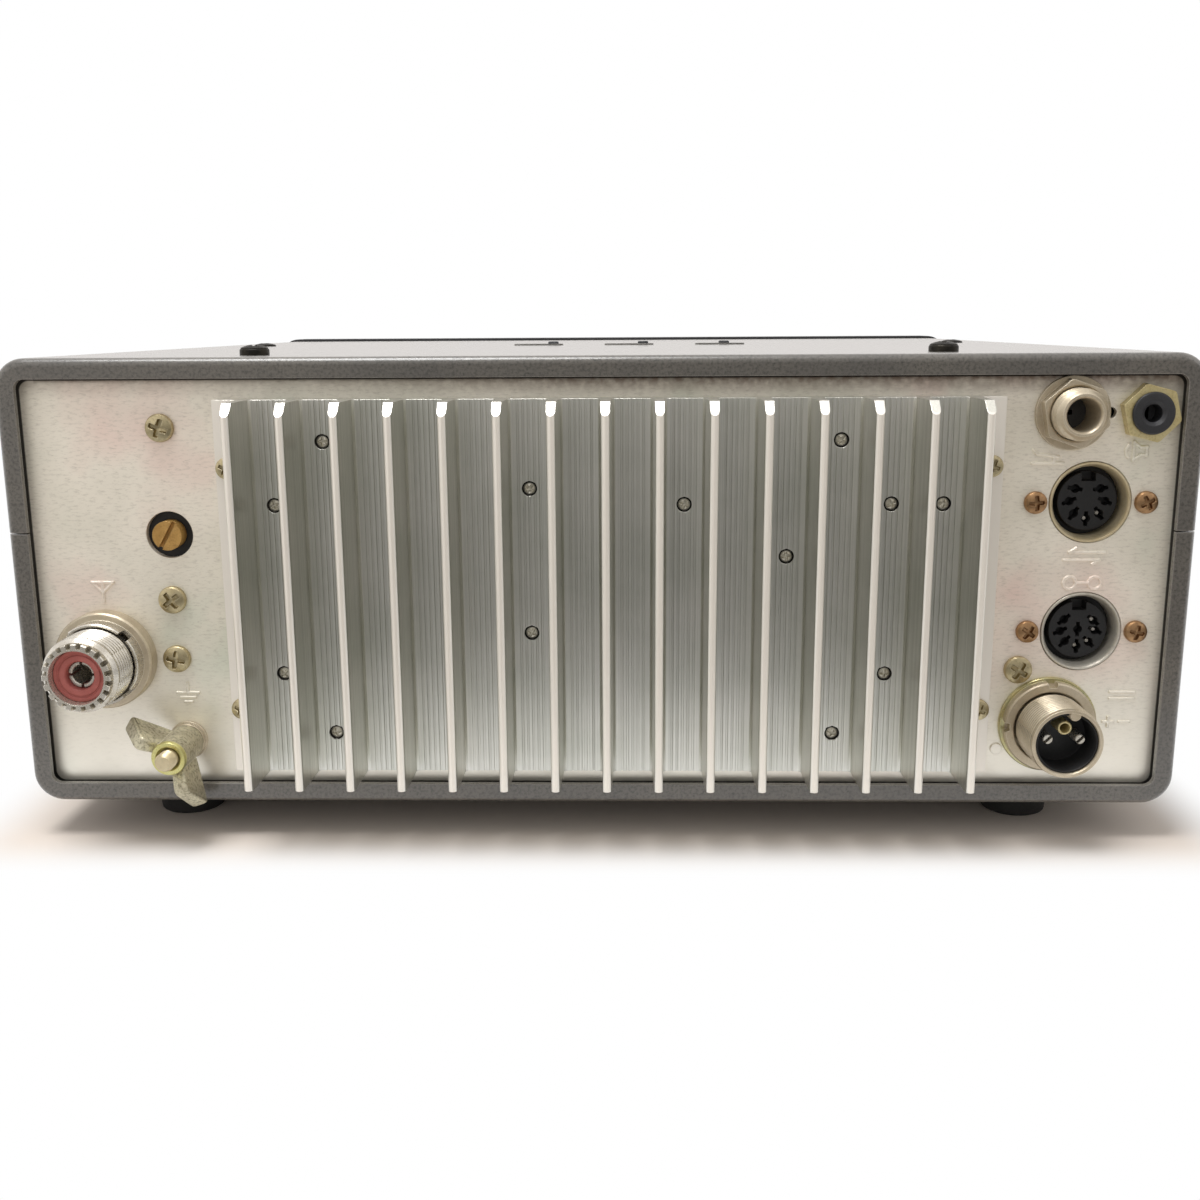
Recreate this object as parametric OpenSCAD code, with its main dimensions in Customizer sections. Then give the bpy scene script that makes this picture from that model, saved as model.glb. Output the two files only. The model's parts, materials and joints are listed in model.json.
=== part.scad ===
// Compact shortwave transceiver with a finned rear, built as separate pieces.
// Millimetres. The controls face -Y, the heat sink faces +Y and the feet stand on z = 0.

/* [Case] */
// width across the covers
case_w = 243; // [219:1:290]
// height of the closed covers
case_h = 94; // [85:1:120]
// depth from the bezel face to the rear rim
case_d = 235; // [207:1:300]
// outer corner radius of the covers
corner_r = 6.2; // [5.8:0.1:7]
// sheet thickness of the covers
cover_t = 1.2; // [1:0.1:1.4]
// width of the rim turned in at the rear
rim_w = 4.2; // [3.8:0.1:4.6]
// outer bend radius of the rim
bend_r = 1.6; // [1.5:0.1:2]
// height of the seam between the covers
split_h = 58.4; // [57:0.2:60]
// height of the rubber feet
foot_h = 8; // [5:0.5:16]
// radius of the rubber feet
foot_r = 8; // [7:0.5:9]

/* [Rear panel] */
// depth of the panel behind the rim
panel_recess = 3; // [2.6:0.1:3.4]
// sheet thickness of the panel
panel_t = 1.5; // [1.2:0.1:2]
// radius of the screw heads on the panel
pan_r = 2.9; // [2.6:0.05:3]

/* [Heat sink] */
// spacing of the fins
fin_pitch = 10.42; // [9.4:0.02:11.4]
// height of the fins above the base
fin_h = 13; // [9:0.5:16]
// thickness of the fins near the tip
fin_t = 1.8; // [1.5:0.1:2.2]
// thickness of the base
base_t = 4; // [3.6:0.1:5]
// gap from the top of the case to the fins
sink_top = 8.4; // [7:0.1:12]
// gap from the bottom of the case to the fins
sink_low = 7.6; // [6.4:0.1:12]
// panel width on the antenna side of the heat sink
antenna_strip = 44; // [43:0.2:50]
// panel width on the jack side of the heat sink
jack_strip = 39.4; // [39:0.2:46]

/* [Antenna socket and ground post] */
// outer radius of the antenna thread
antenna_r = 7.94; // [7.6:0.02:8.2]
// reach of the antenna socket from the panel
antenna_l = 17; // [15:0.5:18]
// radius of the ground stud
stud_r = 2; // [1.75:0.05:2.25]
// reach of the ground stud from the panel
stud_l = 16.4; // [14:0.5:16]
// sweep radius of the wing nut
wing_r = 11.5; // [10:0.5:12.5]

/* [Power inlet and small sockets] */
// outer radius of the power inlet thread
inlet_r = 7.35; // [7.1:0.05:7.6]
// reach of the power inlet from the panel
inlet_l = 14; // [12:0.5:15]
// bore radius of the key jack
key_bore_r = 3.25; // [3.2:0.01:3.3]
// bore radius of the loudspeaker jack
ear_bore_r = 1.78; // [1.76:0.01:1.85]
// spacing of the screws of a round multi-pin socket
din_span = 22.3; // [22:0.1:22.8]

/* [Front controls] */
// radius of the tuning knob
tuning_r = 24; // [20:0.5:24.5]
// depth of the tuning knob
tuning_d = 21; // [18:0.5:24]
// radius of the band and mode knobs
selector_r = 11.5; // [9:0.5:12.5]
// depth of the small knobs
knob_d = 15; // [13:0.5:16]
// push travel of the buttons
button_travel = 2; // [1:0.1:3]
// radius of the knob shafts
shaft_r = 3; // [2.8:0.05:3.1]
// travel of a top slider each way from the middle of its slot
slider_travel = 4.5; // [4:0.5:5.5]

/* [Hidden] */
$fn = 64;

// fits
running = 0.05;
slip = 0.15;
free = 0.4;
over = 1;

// levels along Y
bezel_d = 12;
face_t = 4;
spigot_d = 3;
sub_t = 1.5;
knob_gap = 1;
fin_reach = base_t + fin_h - panel_recess;
antenna_reach = antenna_l - panel_recess;
rear_reach = max(fin_reach, antenna_reach);
knob_reach = tuning_d + knob_gap;
overall_l = knob_reach + case_d + rear_reach;
front_y = knob_reach - overall_l / 2;
rear_y = front_y + case_d;
bezel_y = front_y + bezel_d;
sub_y = bezel_y + spigot_d;
sub_back = sub_y + sub_t;
panel_y = rear_y - panel_recess;
panel_in = panel_y - panel_t;

// levels along Z
mid_z = foot_h + case_h / 2;
top_z = foot_h + case_h;
floor_z = foot_h + cover_t;
roof_z = top_z - cover_t;
deck_t = 1.5;
deck_up = 52;
deck_z = foot_h + deck_up;
deck_top = deck_z + deck_t;

// chassis
side_gap = 0.3;
side_t = 1.5;
side_x = case_w / 2 - cover_t - side_gap - side_t;
tab_t = 1.5;
tab_w = 16;

// cover screws: rear pair and middle pair on each cover
rear_screw_x = 73;
rear_screw_d = 18;
mid_screw_in = 21;
mid_screw_d = 125;
cover_head_r = 3.1;
screw_r = 1.5;
foot_in = 27.5;
foot_front_d = 30;
foot_rear_d = 20;
foot_taper = 1;
foot_stem_r = 2.4;
foot_barb = 1;
foot_barb_h = 2.5;

// heat sink
sink_flange = 6.3;
fin_room = case_w - antenna_strip - jack_strip - 2 * sink_flange;
fin_count = floor(fin_room / fin_pitch) + 1;
sink_x = (jack_strip - antenna_strip) / 2;
sink_w = (fin_count - 1) * fin_pitch + 2 * sink_flange;
sink_h = case_h - sink_top - sink_low;
sink_up = sink_low + sink_h / 2;
sink_z = foot_h + sink_low;
fin_root = 2.3;
root_fillet = 0.5;
tip_bevel = 2.6;
groove_w = 0.45;
groove_d = 0.3;
groove_pitch = 1.1;
spreader_t = 6;
spreader_side = 6.5;
spreader_end = 4;
spreader_w = sink_w - 2 * spreader_side;
spreader_h = sink_h - 2 * spreader_end;
flange_head_r = 2.2;
flange_edge = 0.1;
flange_end = 13.7;
flange_row = sink_h / 2 - flange_end;
outer_end = 4.4;
outer_row = spreader_h / 2 - outer_end;
inner_row = 17.7;
high_row = 21;
short_row = 7;
low_row = -9;
last_gap = fin_count - 2;
spreader_places = [
    [1, outer_row], [last_gap - 2, outer_row], [1, -outer_row], [last_gap - 2, -outer_row],
    [0, inner_row], [last_gap - 5, inner_row], [last_gap - 1, inner_row], [last_gap, inner_row],
    [0, -inner_row], [last_gap - 1, -inner_row],
    [last_gap - 8, high_row], [last_gap - 3, short_row], [last_gap - 8, low_row]
];
small_head_r = 1.3;
small_ring = 0.25;
small_pin_r = 0.9;
small_head_t = 1.2;
small_recess = 1.4;
small_r = 1.25;

// rear panel places: in from the nearer side, and up from the case bottom or down from its top
antenna_in = 17.7;
antenna_x = case_w / 2 - antenna_in;
antenna_up = 31.4;
ground_in = 33.6;
ground_x = case_w / 2 - ground_in;
ground_up = 13.2;
trimmer_in = 32.7;
trimmer_x = case_w / 2 - trimmer_in;
trimmer_up = 57.7;
trimmer_r = 3.05;
trimmer_hole_r = 4.9;
jack_drop = 11.9;
key_in = 25.75;
key_x = key_in - case_w / 2;
key_up = case_h - jack_drop;
ear_in = 10.5;
ear_x = ear_in - case_w / 2;
ear_up = case_h - jack_drop;
din_in = 20.85;
din_x = din_in - case_w / 2;
din_drop = 30;
din_low = 37;
din_ups = [case_h - din_drop, din_low];
din_pins = [7, 8];
inlet_in = 26.6;
inlet_x = inlet_in - case_w / 2;
inlet_up = 17;
left_screw_in = 32.4;
left_screw_x = case_w / 2 - left_screw_in;
top_screw_drop = 14.2;
mid_screw_up = 43.9;
low_screw_up = 31.1;
left_screw_ups = [case_h - top_screw_drop, mid_screw_up, low_screw_up];
right_screw_in = 33.4;
right_screw_x = right_screw_in - case_w / 2;
right_screw_up = 28.8;
pin_hole_in = 18;
pin_hole_x = pin_hole_in - case_w / 2;
pin_hole_r = 1.1;
rivet_in = 36.9;
rivet_x = rivet_in - case_w / 2;
rivet_up = 11.4;
rivet_r = 1.2;
rivet_t = 0.4;
ring_nut_t = 3;
antenna_nut = [[2.4, 3.6], [0.85, 7]];
ring_nut_inlet = 2.85;

// front places: in from the sides, down from the top and up from the case bottom
window_drop = 10;
window_lap = 2;
window_t = 1.5;
window_r = 1.5;
meter_w = 50;
meter_h = 32;
meter_in = 10.5;
meter_x = meter_in + meter_w / 2 - case_w / 2;
meter_up = case_h - window_drop - meter_h / 2;
selector_in = 29.5;
selector_x = case_w / 2 - selector_in;
knob_pitch = 34;
small_x = selector_x - knob_pitch;
knob_drop = 26;
high_up = case_h - knob_drop;
low_up = high_up - knob_pitch;
small_knob_r = 9.5;
ring_r = 10;
inner_r = 7;
ring_d = 6;
display_h = 24;
display_up = case_h - window_drop - display_h / 2;
display_meter_gap = 14;
display_knob_gap = 9;
display_x0 = meter_x + meter_w / 2 + display_meter_gap;
display_x1 = small_x - ring_r - display_knob_gap;
display_x = (display_x0 + display_x1) / 2;
display_w = display_x1 - display_x0;
tuning_drop = 3;
tuning_x = 4;
tuning_up = display_up - display_h / 2 - tuning_drop - tuning_r;
button_in = 17.5;
button_x = button_in - case_w / 2;
button_pitch = 13;
button_w = 9;
button_h = 6;
button_drop = 7;
button_up = meter_up - meter_h / 2 - window_lap - button_drop;
mic_in = 21.5;
mic_x = mic_in - case_w / 2;
mic_r = 8.5;
phones_pitch = 30;
phones_x = mic_x + phones_pitch;
phones_r = 5;
socket_up = 17;
lip = 0.8;
bezel_wall = 2.4;
spigot_wall = 2;
sub_gap = 1.5;
display_lap = 1;

// tuning drive and variable capacitor
drive_r = 14;
drive_l = 18;
cap_y = sub_back + drive_l + 3;
cap_l = 48;
cap_plate = 2;
rotor_r = 15;
rotor_t = 0.8;
rotor_pitch = 5.2;
rotor_count = 7;
rod_x = 18;
pot_r = 9;
pot_l = 13;
bush_r = 4;
bush_l = 4;
shaft_end = 0.5;
shaft_in = 7;
core_in = 10;
ring_in = 4.5;
drive_neck_r = bush_r + 2;
drive_neck_l = 6;
drive_in = 8.5;
drive_wall = 2;
cap_gap = 7;
cap_half = 22;
cap_low = 20;
cap_tail = 2;
cap_rod_r = 1.5;
cap_rod_up = 2;
cap_strap = 4;
rotor_root = 1.5;
stator_edge = 0.8;
stator_gap = 2;

// top sliders
slider_x = -6.7;
slider_pitch = 25.9;
slider_d = 117;
slider_y = rear_y - slider_d;
slider_stem = [3, 1.4];
slider_proud = 1.1;
slider_slot_gap = 0.4;
slider_lip = [0.6, 0.45];
slider_lip_r = 1.1;
slider_rests = [-1.2, -4, -4.2];
slider_slot = 2 * (slider_travel + slider_slot_gap) + slider_stem[0];
slider_slot_w = 2.6;
slider_slot_r = 0.6;
slider_pot = [22, 9, 8];
slider_drop = 12;
slider_bed = roof_z - slider_drop;
slider_strip_t = 1.5;
slider_strip_half = 6;
slider_strip_end = 4;
slider_well = 3;
slider_well_half = 1.2;
slider_lift = 4;

// colours
paint = "#5c5957";
zinc = "#c8c4b4";
bright = "#d0d0cc";
alloy = "#a8a8a0";
brassy = "#b59a5a";
coppery = "#a5774c";
black = "#26262a";
steel = "#9a9a9a";

function up(h) = foot_h + h;
function gap_x(i) = sink_x + ((fin_count - 2) / 2 - i) * fin_pitch;
function slider_at(i) = slider_x + i * slider_pitch;
function button_at(i) = button_x + i * button_pitch;

// a round bar along Y
module rod(x, z, r, y0, y1) {
    translate([x, y0, z])
        rotate([-90, 0, 0])
            cylinder(r = r, h = y1 - y0);
}

// a cone along Y
module taper(x, z, r0, r1, y0, y1) {
    translate([x, y0, z])
        rotate([-90, 0, 0])
            cylinder(r1 = r0, r2 = r1, h = y1 - y0);
}

// a drawing in X and Z, pushed along Y
module along_y(y0, y1) {
    translate([0, y1, 0])
        rotate([90, 0, 0])
            linear_extrude(y1 - y0)
                children();
}

// a drawing in Y and Z, pushed along X
module along_x(x0, x1) {
    translate([x0, 0, 0])
        rotate([90, 0, 90])
            linear_extrude(x1 - x0)
                children();
}

module block(x0, x1, y0, y1, z0, z1) {
    translate([x0, y0, z0])
        cube([x1 - x0, y1 - y0, z1 - z0]);
}

module rounded(w, h, r) {
    square([w - 2 * r, h], center = true);
    square([w, h - 2 * r], center = true);
    for (sx = [-1, 1], sz = [-1, 1])
        translate([sx * (w / 2 - r), sz * (h / 2 - r)])
            circle(r);
}

module case_outline(inset) {
    translate([0, mid_z])
        rounded(case_w - 2 * inset, case_h - 2 * inset, corner_r - inset);
}

// a hexagon along Y, turned about its axis
module hex_y(x, z, across, turn, y0, y1) {
    translate([x, y0, z])
        rotate([-90, turn, 0])
            cylinder(r = across / sqrt(3), h = y1 - y0, $fn = 6);
}

// cross slots for a driver, cut into a head that ends at y
module cross_y(x, z, y, size, w, depth) {
    lean = 20;
    for (turn = [lean, lean + 90])
        translate([x, y - depth, z])
            rotate([0, turn, 0])
                translate([-size / 2, 0, -w / 2])
                    cube([size, depth + over, w]);
}

// a pan-head screw along Y, head seated at y and facing +Y
module pan_screw(x, z, y, head_r, shank_r, l) {
    crown = 0.75;
    side = 1.1;
    cross_d = 1;
    difference() {
        union() {
            rod(x, z, head_r, y, y + side);
            taper(x, z, head_r, head_r - crown, y + side, y + side + crown);
            rod(x, z, shank_r, y - l, y);
        }
        cross_y(x, z, y + side + crown, head_r * 1.2, head_r * 0.24, cross_d);
    }
}

// covers
rim_d = 4;

module rim_profile() {
    square([cover_t, rim_d - bend_r]);
    translate([bend_r, rim_d - cover_t])
        square([rim_w - bend_r, cover_t]);
    difference() {
        intersection() {
            translate([bend_r, rim_d - bend_r])
                circle(bend_r);
            translate([-bend_r, rim_d - bend_r])
                square([2 * bend_r, 2 * bend_r]);
        }
        translate([cover_t, rim_d - bend_r - over])
            square([bend_r, bend_r - cover_t + over]);
    }
}

// one bent corner of the rim; start is the angle where its quarter turn begins
module rim_corner(x, z, start) {
    translate([x, rear_y - rim_d, z])
        rotate([-90, 0, 0])
            rotate([0, 0, start])
                rotate_extrude(angle = 90)
                    translate([corner_r, 0])
                        mirror([1, 0])
                            rim_profile();
}

// a U of sheet with its rim: a flat whose outside is at z = 0 and two sides hanging down to -drop
module cover_sheet(drop) {
    flat_x = case_w / 2 - corner_r;
    along_y(bezel_y, rear_y - rim_d)
        intersection() {
            translate([0, -case_h / 2])
                difference() {
                    rounded(case_w, case_h, corner_r);
                    rounded(case_w - 2 * cover_t, case_h - 2 * cover_t, corner_r - cover_t);
                }
            translate([-case_w, -drop])
                square([2 * case_w, drop + over]);
        }
    for (s = [-1, 1])
        translate([s * case_w / 2, rear_y - rim_d, -drop])
            linear_extrude(drop - corner_r)
                mirror([s > 0 ? 1 : 0, 0])
                    rim_profile();
    translate([-flat_x, rear_y - rim_d, 0])
        rotate([90, 0, 90])
            linear_extrude(2 * flat_x)
                rotate(-90)
                    rim_profile();
    rim_corner(flat_x, -corner_r, -90);
    rim_corner(-flat_x, -corner_r, 180);
}

module at_rear_cover_screws() {
    for (s = [-1, 1])
        translate([s * rear_screw_x, rear_y - rear_screw_d, 0])
            children();
}

module at_mid_cover_screws() {
    for (s = [-1, 1])
        translate([s * (case_w / 2 - mid_screw_in), rear_y - mid_screw_d, 0])
            children();
}

module at_cover_screws() {
    at_rear_cover_screws()
        children();
    at_mid_cover_screws()
        children();
}

module at_feet() {
    for (s = [-1, 1], y = [rear_y - foot_rear_d, front_y + foot_front_d])
        translate([s * (case_w / 2 - foot_in), y, 0])
            children();
}

module upper_cover() {
    color(paint)
        difference() {
            union() {
                translate([0, 0, top_z])
                    cover_sheet(case_h - split_h - slip);
                for (i = [-1, 0, 1])
                    translate([slider_at(i), slider_y, top_z - cover_t / 2])
                        linear_extrude(cover_t / 2 + slider_lip[1])
                            rounded(slider_slot + 2 * slider_lip[0], slider_slot_w + 2 * slider_lip[0], slider_lip_r);
            }
            at_cover_screws()
                translate([0, 0, roof_z - over])
                    cylinder(r = screw_r + slip, h = cover_t + 2 * over);
            for (i = [-1, 0, 1])
                translate([slider_at(i), slider_y, roof_z - over])
                    linear_extrude(cover_t + 2 * over)
                        rounded(slider_slot, slider_slot_w, slider_slot_r);
        }
}

speaker_x = -62;
speaker_d = 130;
speaker_y = front_y + speaker_d;
speaker_r = 33;
speaker_rim = 5;

module lower_cover() {
    grille_r = speaker_r - speaker_rim;
    slot_w = 3;
    slot_r = 1.4;
    slot_pitch = 6;
    rows = floor((grille_r - slot_w) / slot_pitch);
    color(paint)
        difference() {
            translate([0, 0, foot_h])
                mirror([0, 0, 1])
                    cover_sheet(split_h - slip);
            at_cover_screws()
                translate([0, 0, foot_h - over])
                    cylinder(r = screw_r + slip, h = cover_t + 2 * over);
            at_feet()
                translate([0, 0, foot_h - over])
                    cylinder(r = foot_stem_r + slip, h = cover_t + 2 * over);
            for (i = [-rows : rows])
                translate([speaker_x, speaker_y + i * slot_pitch, foot_h - over])
                    linear_extrude(cover_t + 2 * over)
                        rounded(2 * sqrt(grille_r * grille_r - i * i * slot_pitch * slot_pitch),
                            slot_w, slot_r);
        }
}

module rubber_feet() {
    color(black)
        at_feet() {
            cylinder(r1 = foot_r - foot_taper, r2 = foot_r, h = foot_h);
            cylinder(r = foot_stem_r, h = floor_z + foot_barb_h);
            translate([0, 0, floor_z])
                cylinder(r1 = foot_stem_r + foot_barb, r2 = foot_stem_r, h = foot_barb_h);
        }
}

// screws of the covers, the same on roof and floor: pan heads at the rear, low heads half way
module cover_screw(side, crown) {
    shank = 5;
    cross_l = cover_head_r * 1.2;
    cross_w = 0.7;
    cross_d = 0.75;
    difference() {
        union() {
            cylinder(r = cover_head_r, h = side);
            translate([0, 0, side])
                cylinder(r1 = cover_head_r, r2 = cover_head_r - crown, h = crown);
            translate([0, 0, -shank])
                cylinder(r = screw_r, h = shank);
        }
        for (turn = [0, 90])
            rotate([0, 0, turn])
                translate([-cross_l / 2, -cross_w / 2, side + crown - cross_d])
                    cube([cross_l, cross_w, cross_d + over]);
    }
}

module cover_screws() {
    color(black)
        for (turned = [0, 1])
            translate([0, 0, turned ? foot_h : top_z])
                mirror([0, 0, turned]) {
                    at_rear_cover_screws()
                        cover_screw(1.4, 0.8);
                    at_mid_cover_screws()
                        cover_screw(0.4, 0.55);
                }
}

// rear panel, with its upper edge bent forward between the corners
nut_l = 3;
panel_gap = 0.8;
panel_edge = cover_t + panel_gap;
panel_bend = 3.5;
panel_bend_in = 1;
panel_tab_d = 26;

module at_panel_screws() {
    for (h = left_screw_ups)
        translate([left_screw_x, 0, up(h)])
            children();
    translate([right_screw_x, 0, up(right_screw_up)])
        children();
}

module at_sink_screws() {
    for (sx = [-1, 1], sz = [-1, 1])
        translate([sink_x + sx * (sink_w / 2 - flange_head_r - flange_edge), 0,
                up(sink_up) + sz * flange_row])
            children();
}

module panel_sheet() {
    bend_x = case_w / 2 - corner_r - panel_bend_in;
    bend_z = top_z - panel_edge - panel_bend;
    difference() {
        along_y(panel_in, panel_y)
            translate([0, mid_z])
                rounded(case_w - 2 * panel_edge, case_h - 2 * panel_edge, corner_r - panel_edge);
        block(-bend_x, bend_x, panel_in - over, panel_y + over, bend_z, top_z);
    }
    along_x(-bend_x, bend_x)
        translate([panel_y - panel_bend, bend_z])
            intersection() {
                difference() {
                    circle(panel_bend);
                    circle(panel_bend - panel_t);
                }
                square(panel_bend);
            }
}

// tabs for the rear cover screws, at height z and ending at y
module panel_tabs(z, y) {
    for (s = [-1, 1])
        block(s * rear_screw_x - tab_w / 2, s * rear_screw_x + tab_w / 2, panel_in - panel_tab_d, y,
            z, z + tab_t);
}

module rear_panel() {
    color(zinc)
        difference() {
            union() {
                panel_sheet();
                panel_tabs(floor_z, panel_y);
                panel_tabs(roof_z - tab_t, panel_y - panel_bend + panel_gap);
                at_panel_screws()
                    rod(0, 0, pan_r, panel_in - nut_l, panel_in);
                at_sink_screws()
                    rod(0, 0, flange_head_r, panel_in - nut_l, panel_in);
                rod(rivet_x, up(rivet_up), rivet_r, panel_y, panel_y + rivet_t);
            }
            at_cover_screws()
                cylinder(r = screw_r + running, h = top_z + over);
            at_panel_screws()
                rod(0, 0, screw_r + running, panel_in - nut_l - over, panel_y + over);
            at_sink_screws()
                rod(0, 0, small_r + running, panel_in - nut_l - over, panel_y + over);
            along_y(panel_in - over, panel_y + over)
                translate([sink_x, up(sink_up)])
                    rounded(spreader_w + 2 * free, spreader_h + 2 * free, spreader_r);
            rod(antenna_x, up(antenna_up), antenna_r + slip, panel_in - over, panel_y + over);
            rod(ground_x, up(ground_up), stud_r + slip, panel_in - over, panel_y + over);
            rod(trimmer_x, up(trimmer_up), trimmer_hole_r, panel_in - over, panel_y + over);
            rod(key_x, up(key_up), key_bush_r + slip, panel_in - over, panel_y + over);
            rod(ear_x, up(ear_up), ear_bush_r + slip, panel_in - over, panel_y + over);
            rod(pin_hole_x, up(key_up), pin_hole_r, panel_in - over, panel_y + over);
            rod(inlet_x, up(inlet_up), inlet_r + slip, panel_in - over, panel_y + over);
            for (h = din_ups) {
                rod(din_x, up(h), din_shell_r + slip, panel_in - over, panel_y + over);
                for (s = [-1, 1])
                    rod(din_x + s * din_span / 2, up(h), screw_r + slip, panel_in - over, panel_y + over);
            }
        }
}

// the pan-head screws of the panel and of the heat sink's side flanges
module panel_screws() {
    color(brassy) {
        at_panel_screws()
            pan_screw(0, 0, panel_y, pan_r, screw_r, panel_t + nut_l);
        at_sink_screws()
            pan_screw(0, 0, panel_y + base_t, flange_head_r, small_r, base_t + panel_t + nut_l);
    }
}

// side plates joined by a deck, with posts for the boards and tabs for the covers
board_t = 1.6;
board_up = 6;
board_in = 29.5;
board_x = side_x - board_in;
board_front_gap = 16;
board_mid_gap = 15.5;
board_slider_gap = 10.5;
board_rear_gap = 53.5;
front_board = [sub_back + board_front_gap, slider_y - board_mid_gap];
rear_board = [slider_y + board_slider_gap, rear_y - board_rear_gap];
post_in = 6;
board_post_r = 3;
side_edge = 5;
deck_back = 30;
tab_l = 15;
tab_hole_l = 8;

// a tab off the side plate's edge at height h, stepped up to lie under the cover
module joggled_tab(h, w) {
    step_x = case_w / 2 - corner_r - tab_t;
    roof = case_h / 2 - cover_t;
    block(step_x - tab_t, side_x + side_t, 0, w, h - tab_t, h);
    block(step_x - tab_t, step_x, 0, w, h - tab_t, roof);
    block(step_x - tab_l, step_x, 0, w, roof - tab_t, roof);
}

module chassis_frame() {
    color(steel)
        difference() {
            union() {
                for (s = [-1, 1])
                    translate([s > 0 ? side_x : -side_x - side_t, sub_back, up(side_edge)])
                        cube([side_t, panel_in - sub_back, case_h - 2 * side_edge]);
                block(-side_x, side_x, sub_back, rear_y - deck_back, deck_z, deck_top);
                for (sx = [0, 1], sz = [-1, 1])
                    mirror([sx, 0, 0])
                        translate([0, rear_y - mid_screw_d - tab_w / 2, mid_z])
                            mirror([0, 0, sz > 0 ? 0 : 1])
                                joggled_tab(case_h / 2 - side_edge, tab_w);
                for (s = [-1, 1], y = concat(front_board + [post_in, -post_in],
                        rear_board + [post_in, -post_in]))
                    translate([s * (board_x - post_in), y, deck_top])
                        cylinder(r = board_post_r, h = board_up);
            }
            for (z = [foot_h, top_z - tab_hole_l])
                at_cover_screws()
                    translate([0, 0, z])
                        cylinder(r = screw_r + running, h = tab_hole_l);
        }
}

// heat sink, drawn as one outline from left to right
tip_step = 30;

function fin_x(i) = (i - (fin_count - 1) / 2) * fin_pitch;

function fin_points(x) = concat(
    [[x - fin_root / 2 - root_fillet, base_t], [x - fin_root / 2, base_t + root_fillet]],
    [for (a = [180 : -tip_step : 0])
        [x + fin_t / 2 * cos(a), base_t + fin_h - fin_t / 2 + fin_t / 2 * sin(a)]],
    [[x + fin_root / 2, base_t + root_fillet], [x + fin_root / 2 + root_fillet, base_t]]
);

function groove_points(x) = [
    for (k = [-2 : 2], p = [[-1, 0], [-1, -1], [1, -1], [1, 0]])
        [x + k * groove_pitch + p[0] * groove_w / 2, base_t + p[1] * groove_d]
];

module sink_profile() {
    last = fin_count - 1;
    polygon(concat(
        [[-sink_w / 2, 0], [-sink_w / 2, base_t]],
        [for (i = [0 : last - 1])
            each concat(fin_points(fin_x(i)), groove_points(fin_x(i + 0.5)))],
        fin_points(fin_x(last)),
        [[sink_w / 2, base_t], [sink_w / 2, 0]]
    ));
}

// a wedge that bevels every fin's upper corner
module tip_wedge() {
    tip_y = panel_y + base_t + fin_h;
    along_x(sink_x - sink_w / 2 - over, sink_x + sink_w / 2 + over)
        polygon([
            [tip_y - tip_bevel, 0], [tip_y + over, -tip_bevel - over],
            [tip_y + over, over], [tip_y - tip_bevel, over]
        ]);
}

module at_spreader_screws() {
    for (p = spreader_places)
        translate([gap_x(p[0]), 0, up(sink_up) + p[1]])
            children();
}

module heat_sink() {
    face = panel_y + base_t;
    color(alloy)
        difference() {
            translate([sink_x, panel_y, sink_z])
                linear_extrude(sink_h)
                    sink_profile();
            translate([0, 0, sink_z + sink_h])
                tip_wedge();
            at_sink_screws()
                rod(0, 0, small_r + slip, panel_y - over, face + over);
            at_spreader_screws() {
                rod(0, 0, small_pin_r + slip, panel_y - over, face);
                rod(0, 0, small_head_r + small_ring, face - small_recess, face + over);
            }
        }
}

module spreader_screws() {
    seat = panel_y + base_t - small_recess;
    grip = spreader_t - 2 * spreader_skin;
    color(brassy)
        at_spreader_screws()
            difference() {
                union() {
                    rod(0, 0, small_head_r, seat, seat + small_head_t);
                    rod(0, 0, small_pin_r, panel_y - grip, seat);
                }
                cross_y(0, 0, seat + small_head_t, small_head_r * 1.3, 0.4, 0.7);
            }
}

// block behind the heat sink, with posts for the output board
spreader_r = 2;
spreader_skin = 0.5;
final_in = 20.7;
final_end = 4;
final_x = spreader_w / 2 - final_in;
final_row = spreader_h / 2 - final_end;
final_post_r = 3;
final_post_l = 8;
final_gap = 16;
final_flange = [10, 2.5, 26];
final_cap_r = 6;
final_cap_l = 5.5;
final_board_lap = 5;

module heat_spreader() {
    back = panel_y - spreader_t;
    color(alloy)
        difference() {
            union() {
                along_y(back, panel_y)
                    translate([sink_x, up(sink_up)])
                        rounded(spreader_w, spreader_h, spreader_r);
                for (sx = [-1, 1], sz = [-1, 1])
                    rod(sink_x + sx * final_x, up(sink_up) + sz * final_row, final_post_r,
                        back - final_post_l, back);
            }
            at_spreader_screws()
                rod(0, 0, small_pin_r + running, back + spreader_skin, panel_y + over);
        }
}

module power_transistors() {
    back = panel_y - spreader_t;
    color(black)
        for (x = [sink_x - final_gap, sink_x + final_gap]) {
            translate([x - final_flange[0] / 2, back - final_flange[1], up(sink_up) - final_flange[2] / 2])
                cube(final_flange);
            rod(x, up(sink_up), final_cap_r, back - final_cap_l, back);
        }
}

// antenna socket
insulator_r = 5.45;
contact_r = 2.85;
contact_bore = 2;
insulator_back = 5;
insulator_drop = 1.8;
contact_drop = 3;
contact_tail_r = 1.4;
contact_tail_l = 5;
contact_flange = 1.2;
contact_flange_t = 1.5;
contact_slit = 0.6;
contact_slit_l = 5;
thread_flange = 1.2;
thread_flange_t = 2.5;
antenna_neck = 1;
tip_drop = 0.94;
tip_l = 1.2;
tip_bevel_l = 0.6;
teeth = 20;
tooth_w = 1;
tooth_d = 1;
tooth_wall = 0.5;

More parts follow.
